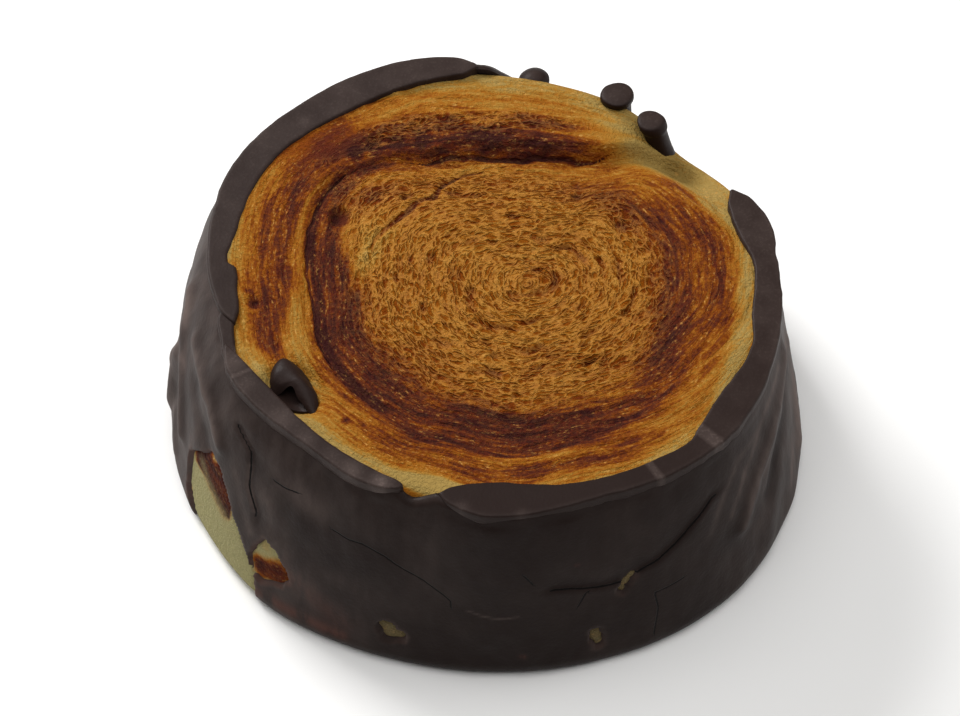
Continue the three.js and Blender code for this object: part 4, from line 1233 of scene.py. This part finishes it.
class DANISH_OT_wall(bpy.types.Operator):
    """Build the poured wall of chocolate with its folds, sheets and bare patches"""
    bl_idname = "danish.wall"
    bl_label = "Chocolate Wall"

    INNER_RINGS = 8
    EDGE_RINGS = 4
    EDGE_ROUNDING = 0.5
    # How far off a sheet's edge counts as being where the sheet has run out, in millimetres.
    RUN_OUT = 3

    # Grey film: how cloudy it is; the painted highlight that a crest adds and the painted shade that a
    # furrow takes away; what a full streak, partly painted sheen, and the edge of a bare patch add. A
    # crest or furrow counts from this height to that.
    CLOUDINESS = 0.5
    FAINT_CLOUDS = 0.05
    CREST_BLOOM = 0.5
    CREST = (0.1, 0.8)
    FURROW_LOSS = 0.2
    FURROW = (0.2, 0.8)
    STREAK_BLOOM = 0.6
    STREAK_CLOUDINESS = 0.4
    EDGE_BLOOM = 0.25
    BLOOMS = (-1, 0)
    # Thin chocolate beside the front patches and beside the spots, between these depths.
    SMEARED = (0.5, 0.15)
    THINS = (-0.9, -0.1)

    def execute(self, context):
        look = context.scene.danish_coat
        outside, edge, inside = look.rings, self.EDGE_RINGS, self.INNER_RINGS
        outwards = np.r_[np.ones(outside), np.linspace(1, 0, edge, endpoint=False),
                         np.zeros(inside), np.linspace(0, 1, edge + 1)]
        rises = np.r_[np.linspace(0, 1, outside, endpoint=False), np.ones(edge),
                      np.linspace(1, 0, inside, endpoint=False), np.zeros(edge + 1)]
        bm, degrees, station = unrolled(len(outwards), look.rounds)
        outwards, rise = outwards[station], rises[station]
        top = coat_top(degrees)
        height = mix(COAT_FOOT, top, rise)
        bare = bare_depth(degrees, height)
        relief = coat_relief(degrees, height, look.ripple / MM)
        to_edge = np.clip(1 - (top - height) / self.EDGE_ROUNDING, 0, 1)
        rounded = COAT_THICKNESS / 2 * (1 - np.sqrt(1 - to_edge ** 2))
        dip = BARE_DEPTH * smooth(bare, -BARE_BANK / 2, BARE_BANK / 2)
        outer = plain_wall(degrees, height) + (relief - rounded) * (1 - dip / BARE_DEPTH) - dip
        inner = plain_wall(degrees, height) - COAT_THICKNESS
        x, y = polar(degrees, mix(inner, outer, outwards))
        move_to(bm, x, y, height)
        write_layer(bm, "crack_and_shadow_mm", self.cracks(degrees, height))
        write_layer(bm, "bloom_and_sheen", self.bloom_and_sheen(degrees, height, relief, bare))
        write_layer(bm, "smear", self.smears(degrees, height, bare))
        rolled_up(bm)
        finished("chocolate_wall", bm, shared_material(poured_chocolate, look),
                 "dark_chocolate", "chocolate_coat")
        return {"FINISHED"}

    def cracks(self, degrees, height):
        """Distance in millimetres to the nearest crack or edge of a loose sheet: once with its side as a
        sign, once without. Along a sheet's edge the dark line that this distance draws is a painted
        shadow."""
        away, reach = np.full_like(degrees, FAR), np.full_like(degrees, FAR)
        lines = [(signed_distance(line, degrees, height), 1) for line in CRACKS]
        for signed, there in lines + list(flap_depths(degrees, height)):
            plain = np.abs(signed) + self.RUN_OUT * (1 - there)
            away, reach = np.where(plain < reach, signed, away), np.minimum(plain, reach)
        return np.stack([away, reach, 0 * reach], 1)

    def bloom_and_sheen(self, degrees, height, relief, bare):
        """Grey film and painted sheen, strongest on the sides, with painted highlights along the crests
        of the folds and painted shade in the furrows.
        """
        clouds = drum_noise(degrees, height / 7, 5, 91, 3)
        lit_crests, shaded_furrows = smooth(relief, *self.CREST), smooth(-relief, *self.FURROW)
        total = read(WALL_BLOOM_AND_SHEEN, degrees)
        total = total * (1 + self.CLOUDINESS * clouds + self.CREST_BLOOM * lit_crests)
        total += self.FAINT_CLOUDS * clouds - self.FURROW_LOSS * shaded_furrows
        for line, breadth, strength in STREAKS:
            along = hill(distance_to_line(line, degrees, height), breadth)
            cloudy = 1 + self.STREAK_CLOUDINESS * clouds
            total += self.STREAK_BLOOM * strength * along * cloudy
        return np.clip(total + self.EDGE_BLOOM * smooth(bare, *self.BLOOMS), 0, 1)

    def smears(self, degrees, height, bare):
        """Thin chocolate: round the bare patches, less so round the spots, and along smears."""
        halo = mix(*self.SMEARED, smooth(degrees, *FRONT_PATCHES_END))
        total = halo * smooth(bare, *self.THINS)
        for line, breadth, strength in SMEARS:
            total += strength * hill(distance_to_line(line, degrees, height), breadth)
        return np.clip(total, 0, 1)


class DANISH_OT_lips(bpy.types.Operator):
    """Build the flat lips round the top"""
    bl_idname = "danish.lips"
    bl_label = "Chocolate Lips"

    SIDE_ROWS = 4
    CORNER_ROWS = 4
    TOP_ROWS = 16
    # Where half a lip's breadth is less, at its ends, its edge is even.
    NARROW_END = 0.5

    # Grey film: how cloudy it is, and what a mark and a full scuff add; and the painted highlight that
    # the outer edge adds, and how broad that paler edge is.
    CLOUDINESS = 0.3
    MARK_BLOOM = 0.3
    SCUFF_BLOOM = 0.6
    EDGE_BLOOM = 0.06
    PALE_EDGE = (0.2, 0.9)

    def execute(self, context):
        look = context.scene.danish_coat
        for name, (outer, inner) in LIPS.items():
            self.build(look, name, outer, inner)
        return {"FINISHED"}

    def build(self, look, name, outer, inner):
        rounding = look.lip_rounding / MM
        across, inset, level = self.section(rounding)
        start, end = outer[0][0], outer[-1][0]
        steps = int(math.radians(end - start) * outer[0][1] / LIP_STEP)
        bm, share, row = grid(steps, len(across))
        degrees = mix(start, end, share)
        (far,), (near,) = smooth_run(outer, degrees), smooth_run(inner, degrees)
        wobble = LIP_WOBBLE * drum_noise(degrees, across[row], 22, 81, 2)
        middle, half = (far + near) / 2, (far - near) / 2
        to_end = np.minimum(share, 1 - share) * np.radians(end - start) * middle
        half *= np.sqrt(1 - (1 - np.clip(to_end / LIP_END_ROUNDING, 0, 1)) ** 2)
        flat = np.maximum(half - inset[row], 0)
        radius = middle + across[row] * (flat + wobble * (half > self.NARROW_END))
        x, y = polar(degrees, radius)
        sunk = LIP_UNEVENNESS * (0.5 + 0.5 * noise(x / 4, y / 4, 0, 83))
        sunk += rounding * (1 - np.clip(half / rounding, 0, 1))
        underside = LIP_TOP - LIP_DROPS.get(name, 0) - LIP_THICKNESS
        sunk = np.where(level[row] > LIP_THICKNESS / 2, sunk, 0)
        move_to(bm, x, y, underside + level[row] - sunk)
        write_layer(bm, "bloom_and_sheen", self.bloom_and_sheen(degrees, radius, x, y, far - radius))
        rolled_up(bm)
        finished(name, bm, shared_material(flat_set_chocolate, look), "dark_chocolate",
                 "chocolate_coat")

    def section(self, rounding):
        """The closed section of a lip: where across, how far in from the edge, how high."""
        rise = LIP_THICKNESS - rounding
        turn = np.linspace(0, math.pi / 2, self.CORNER_ROWS, endpoint=False)
        corner_in, corner_up = rounding * (1 - np.cos(turn)), rise + rounding * np.sin(turn)
        side = np.linspace(0, rise, self.SIDE_ROWS, endpoint=False)
        top = np.linspace(1, -1, self.TOP_ROWS)
        across = np.r_[np.ones(len(side) + len(turn)), top, -np.ones(len(turn) + len(side))]
        edge_in, edge_up = np.r_[0 * side, corner_in], np.r_[side, corner_up]
        inset = np.r_[edge_in, np.full(len(top), rounding), edge_in[::-1]]
        level = np.r_[edge_up, np.full(len(top), LIP_THICKNESS), edge_up[::-1]]
        return np.r_[across, 1], np.r_[inset, 0], np.r_[level, 0]

    def bloom_and_sheen(self, degrees, radius, x, y, from_edge):
        """Grey film and painted sheen: stronger at the back and right, where it is painted sheen, in the
        marks and in the scuffs, with a painted highlight along the outer edge.
        """
        total = read(LIP_BLOOM_AND_SHEEN, degrees) * (1 + self.CLOUDINESS * noise(x / 3, y / 3, 0, 85, 3))
        for angle, half_breadth in LIP_MARKS:
            away = np.abs(degrees - angle) * np.radians(radius) - half_breadth
            total += self.MARK_BLOOM * (1 - smooth(away, -LIP_MARK_EDGE, LIP_MARK_EDGE))
        for angle, at, breadth, strength in LIP_SCUFFS:
            scuff_x, scuff_y = polar(angle, at)
            away = np.hypot(x - scuff_x, y - scuff_y)
            total += self.SCUFF_BLOOM * strength * hill(away, breadth)
        total += self.EDGE_BLOOM * (1 - smooth(from_edge, *self.PALE_EDGE))
        return np.clip(total, 0, 1)


class DANISH_OT_drips(bpy.types.Operator):
    """Build the drips with flat tops round the open back"""
    bl_idname = "danish.drips"
    bl_label = "Chocolate Drips"

    SIDES = 56
    STEM_RINGS = 8
    FIRST_SEED = 90
    # Grey film of the stem, the painted highlight that the flat top adds, and how far down that
    # highlight comes.
    STEM_BLOOM = 0.02
    TOP_BLOOM = 0.18
    TOP_FILM = 0.4

    def execute(self, context):
        look = context.scene.danish_coat
        for number, drip in enumerate(DRIPS, start=1):
            self.build(look, number, drip)
        return {"FINISHED"}

    def build(self, look, number, drip):
        height, size = drip["level"] - DRIP_BOTTOM, drip["size"]
        bm = spun(self.profile(height, size, drip["dome"]), self.SIDES)
        x, y, z = places(bm).T
        down = 1 - z / height
        swell = 1 + DRIP_SWELL * noise(x / 2.2, y / 2.2, z / 3, self.FIRST_SEED + number)
        outwards, sideways = drip["lean"]
        x, y = x * swell + outwards * down, y * swell + sideways * down
        turn = math.radians(drip["degrees"])
        away = x + drip["radius"]
        move_to(bm, away * math.cos(turn) - y * math.sin(turn),
                away * math.sin(turn) + y * math.cos(turn), z + DRIP_BOTTOM)
        # The flat top is paler: a painted highlight.
        on_top = smooth(z, height - self.TOP_FILM, height)
        write_layer(bm, "bloom_and_sheen", self.STEM_BLOOM + self.TOP_BLOOM * on_top)
        finished(f"chocolate_drip_{number}", bm, shared_material(flat_set_chocolate, look),
                 "dark_chocolate", "chocolate_coat")

    def profile(self, height, size, dome):
        """Half the outline of a drip, from under its stem over its rim to the middle on top."""
        waist, under = size * DRIP_WAIST, height - DRIP_CAP
        line = [(0, 0)]
        line += [(waist, z) for z in np.linspace(0, under - DRIP_FLARE, self.STEM_RINGS + 1)]
        line += [(mix(waist, size, smooth(share, 0, 1)), under - DRIP_FLARE * (1 - share))
                 for share in (0.2, 0.4, 0.6, 0.8, 1)]
        line += [(size - inwards, height - below) for inwards, below in DRIP_RIM]
        line += [(size * share, height) for share in (0.78, 0.6, 0.4, 0.2, 0)]
        return [(radius, z - dome * (radius / size) ** 2 * (z / height) ** 4)
                for radius, z in line]


class DANISH_OT_shard(bpy.types.Operator):
    """Build the loose curl of chocolate on the face"""
    bl_idname = "danish.shard"
    bl_label = "Chocolate Curl"

    STEPS_ALONG = 60
    STEPS_ACROSS = 36

    def execute(self, context):
        look = context.scene.danish_coat
        bm = bmesh.new()
        # The sheet under the curl darkens its hollow: partly chocolate, partly a dark sheet in place of
        # shade.
        self.add_sheet(bm, CURL_SHADE_FLOOR)
        self.add_sheet(bm, CURL_LINES)
        for vertex in bm.verts:
            vertex.co.z = min(vertex.co.z, LIP_TOP * MM)
        write_layer(bm, "bloom_and_sheen", np.full(len(bm.verts), CURL_BLOOM))
        finished("chocolate_curl", bm, shared_material(flat_set_chocolate, look),
                 "dark_chocolate", "chocolate_shard")
        return {"FINISHED"}

    def add_sheet(self, bm, lines):
        """Adds a thin sheet of chocolate that runs through the lines."""
        sheet = bmesh.new()
        bmesh.ops.create_grid(sheet, x_segments=self.STEPS_ALONG, y_segments=self.STEPS_ACROSS,
                              size=0.5)
        along, across, _ = (places(sheet) + 0.5).T
        count = len(lines[0])
        rows = np.array([smooth_run([(i, *point) for i, point in enumerate(line)],
                                    across * (count - 1)) for line in lines])
        x, y, z = self.between(rows, along * (len(lines) - 1))
        move_to(sheet, x + CURL_RIPPLE * noise(x, y, z, 95, 2), y, z)
        bmesh.ops.recalc_face_normals(sheet, faces=sheet.faces)
        bmesh.ops.solidify(sheet, geom=sheet.faces, thickness=CURL_THICKNESS * MM)
        bmesh.ops.recalc_face_normals(sheet, faces=sheet.faces)
        mesh = bpy.data.meshes.new("sheet")
        sheet.to_mesh(mesh)
        sheet.free()
        bm.from_mesh(mesh)
        bpy.data.meshes.remove(mesh)

    def between(self, rows, at):
        """Reads each vertex's place between the lines, along a smooth run through them."""
        last = len(rows) - 1
        index = np.clip(at.astype(int), 0, last - 1)
        pick = np.arange(len(at))
        before, first = rows[np.maximum(index - 1, 0), :, pick], rows[index, :, pick]
        second, after = rows[index + 1, :, pick], rows[np.minimum(index + 2, last), :, pick]
        t = (at - index)[:, None]
        bend = (second - before) * t * (1 - t) ** 2 - (after - first) * t * t * (1 - t)
        return (mix(first, second, t * t * (3 - 2 * t)) + bend / 2).T


class DANISH_OT_stage(bpy.types.Operator):
    """Set up the floor, the soft lights and the camera"""
    bl_idname = "danish.stage"
    bl_label = "Stage"

    FLOOR_SIZE = 4.0
    SENSOR = 36.0
    LIT_PLACE = Vector((0, 0, 0.02))
    ROOM_COLOUR = linear("#f6f6f8")
    ROOM_LIGHT = 0.16
    # Name, place in metres, breadth in metres, watts.
    LIGHTS = [
        ("key_softbox", (-0.4, 0.5, 0.5), 0.3, 6.0),
        ("overhead_softbox", (0.0, -0.05, 0.8), 0.8, 4.5),
        ("left_softbox", (-0.8, 0.1, 0.3), 0.5, 1.4),
        ("right_softbox", (0.8, 0.15, 0.3), 0.5, 2.3),
    ]

    def execute(self, context):
        look = context.scene.danish_stage
        self.lay_floor(look)
        for name, place, breadth, watts in self.LIGHTS:
            self.hang_light(name, Vector(place), breadth, watts)
        self.set_world(context.scene)
        self.set_camera(context.scene, look)
        return {"FINISHED"}

    def lay_floor(self, look):
        bm = bmesh.new()
        bmesh.ops.create_grid(bm, x_segments=1, y_segments=1, size=self.FLOOR_SIZE / 2)
        mesh = bpy.data.meshes.new("floor")
        bm.to_mesh(mesh)
        bm.free()
        mesh.materials.append(matt_paper(look))
        floor = bpy.data.objects.new("floor", mesh)
        bpy.context.scene.collection.objects.link(floor)

    def hang_light(self, name, place, breadth, watts):
        light = bpy.data.lights.new(name, "AREA")
        light.shape = "SQUARE"
        light.size = breadth
        light.energy = watts
        lamp = bpy.data.objects.new(name, light)
        lamp.location = place
        lamp.rotation_euler = (self.LIT_PLACE - place).to_track_quat("-Z", "Y").to_euler()
        bpy.context.scene.collection.objects.link(lamp)

    def set_world(self, scene):
        world = bpy.data.worlds.new("studio")
        world.use_nodes = True
        background = world.node_tree.nodes["Background"]
        background.inputs["Color"].default_value = self.ROOM_COLOUR
        background.inputs["Strength"].default_value = self.ROOM_LIGHT
        scene.world = world
        scene.view_settings.view_transform = "Standard"

    def set_camera(self, scene, look):
        lens = bpy.data.cameras.new("camera")
        lens.lens = look.lens
        lens.sensor_width = self.SENSOR
        camera = bpy.data.objects.new("camera", lens)
        back = Vector((0, -math.cos(look.elevation), math.sin(look.elevation)))
        camera.location = Vector(look.target) + back * look.distance
        camera.rotation_euler = (-back).to_track_quat("-Z", "Y").to_euler()
        scene.collection.objects.link(camera)
        scene.camera = camera


OPERATORS = [DANISH_OT_roll, DANISH_OT_wall, DANISH_OT_lips, DANISH_OT_drips, DANISH_OT_shard,
             DANISH_OT_stage]


class DANISH_PT_panel(bpy.types.Panel):
    """Lists the pieces of the pastry and their settings"""
    bl_idname = "DANISH_PT_panel"
    bl_label = "Chocolate Danish"
    bl_space_type = "VIEW_3D"
    bl_region_type = "UI"
    bl_category = "Danish"

    def draw(self, context):
        for operator in OPERATORS:
            self.layout.operator(operator.bl_idname)
        for name, group in SETTINGS.items():
            box = self.layout.box()
            for setting in group.__annotations__:
                box.prop(getattr(context.scene, name), setting)


CLASSES = [*SETTINGS.values(), *OPERATORS, DANISH_PT_panel]


def register():
    for cls in CLASSES:
        bpy.utils.register_class(cls)
    for name, group in SETTINGS.items():
        setattr(bpy.types.Scene, name, PointerProperty(type=group))


def unregister():
    for name in SETTINGS:
        delattr(bpy.types.Scene, name)
    for cls in reversed(CLASSES):
        bpy.utils.unregister_class(cls)


def main():
    register()
    bpy.ops.danish.roll()
    bpy.ops.danish.wall()
    bpy.ops.danish.lips()
    bpy.ops.danish.drips()
    bpy.ops.danish.shard()
    bpy.ops.danish.stage()


if __name__ == "__main__":
    main()
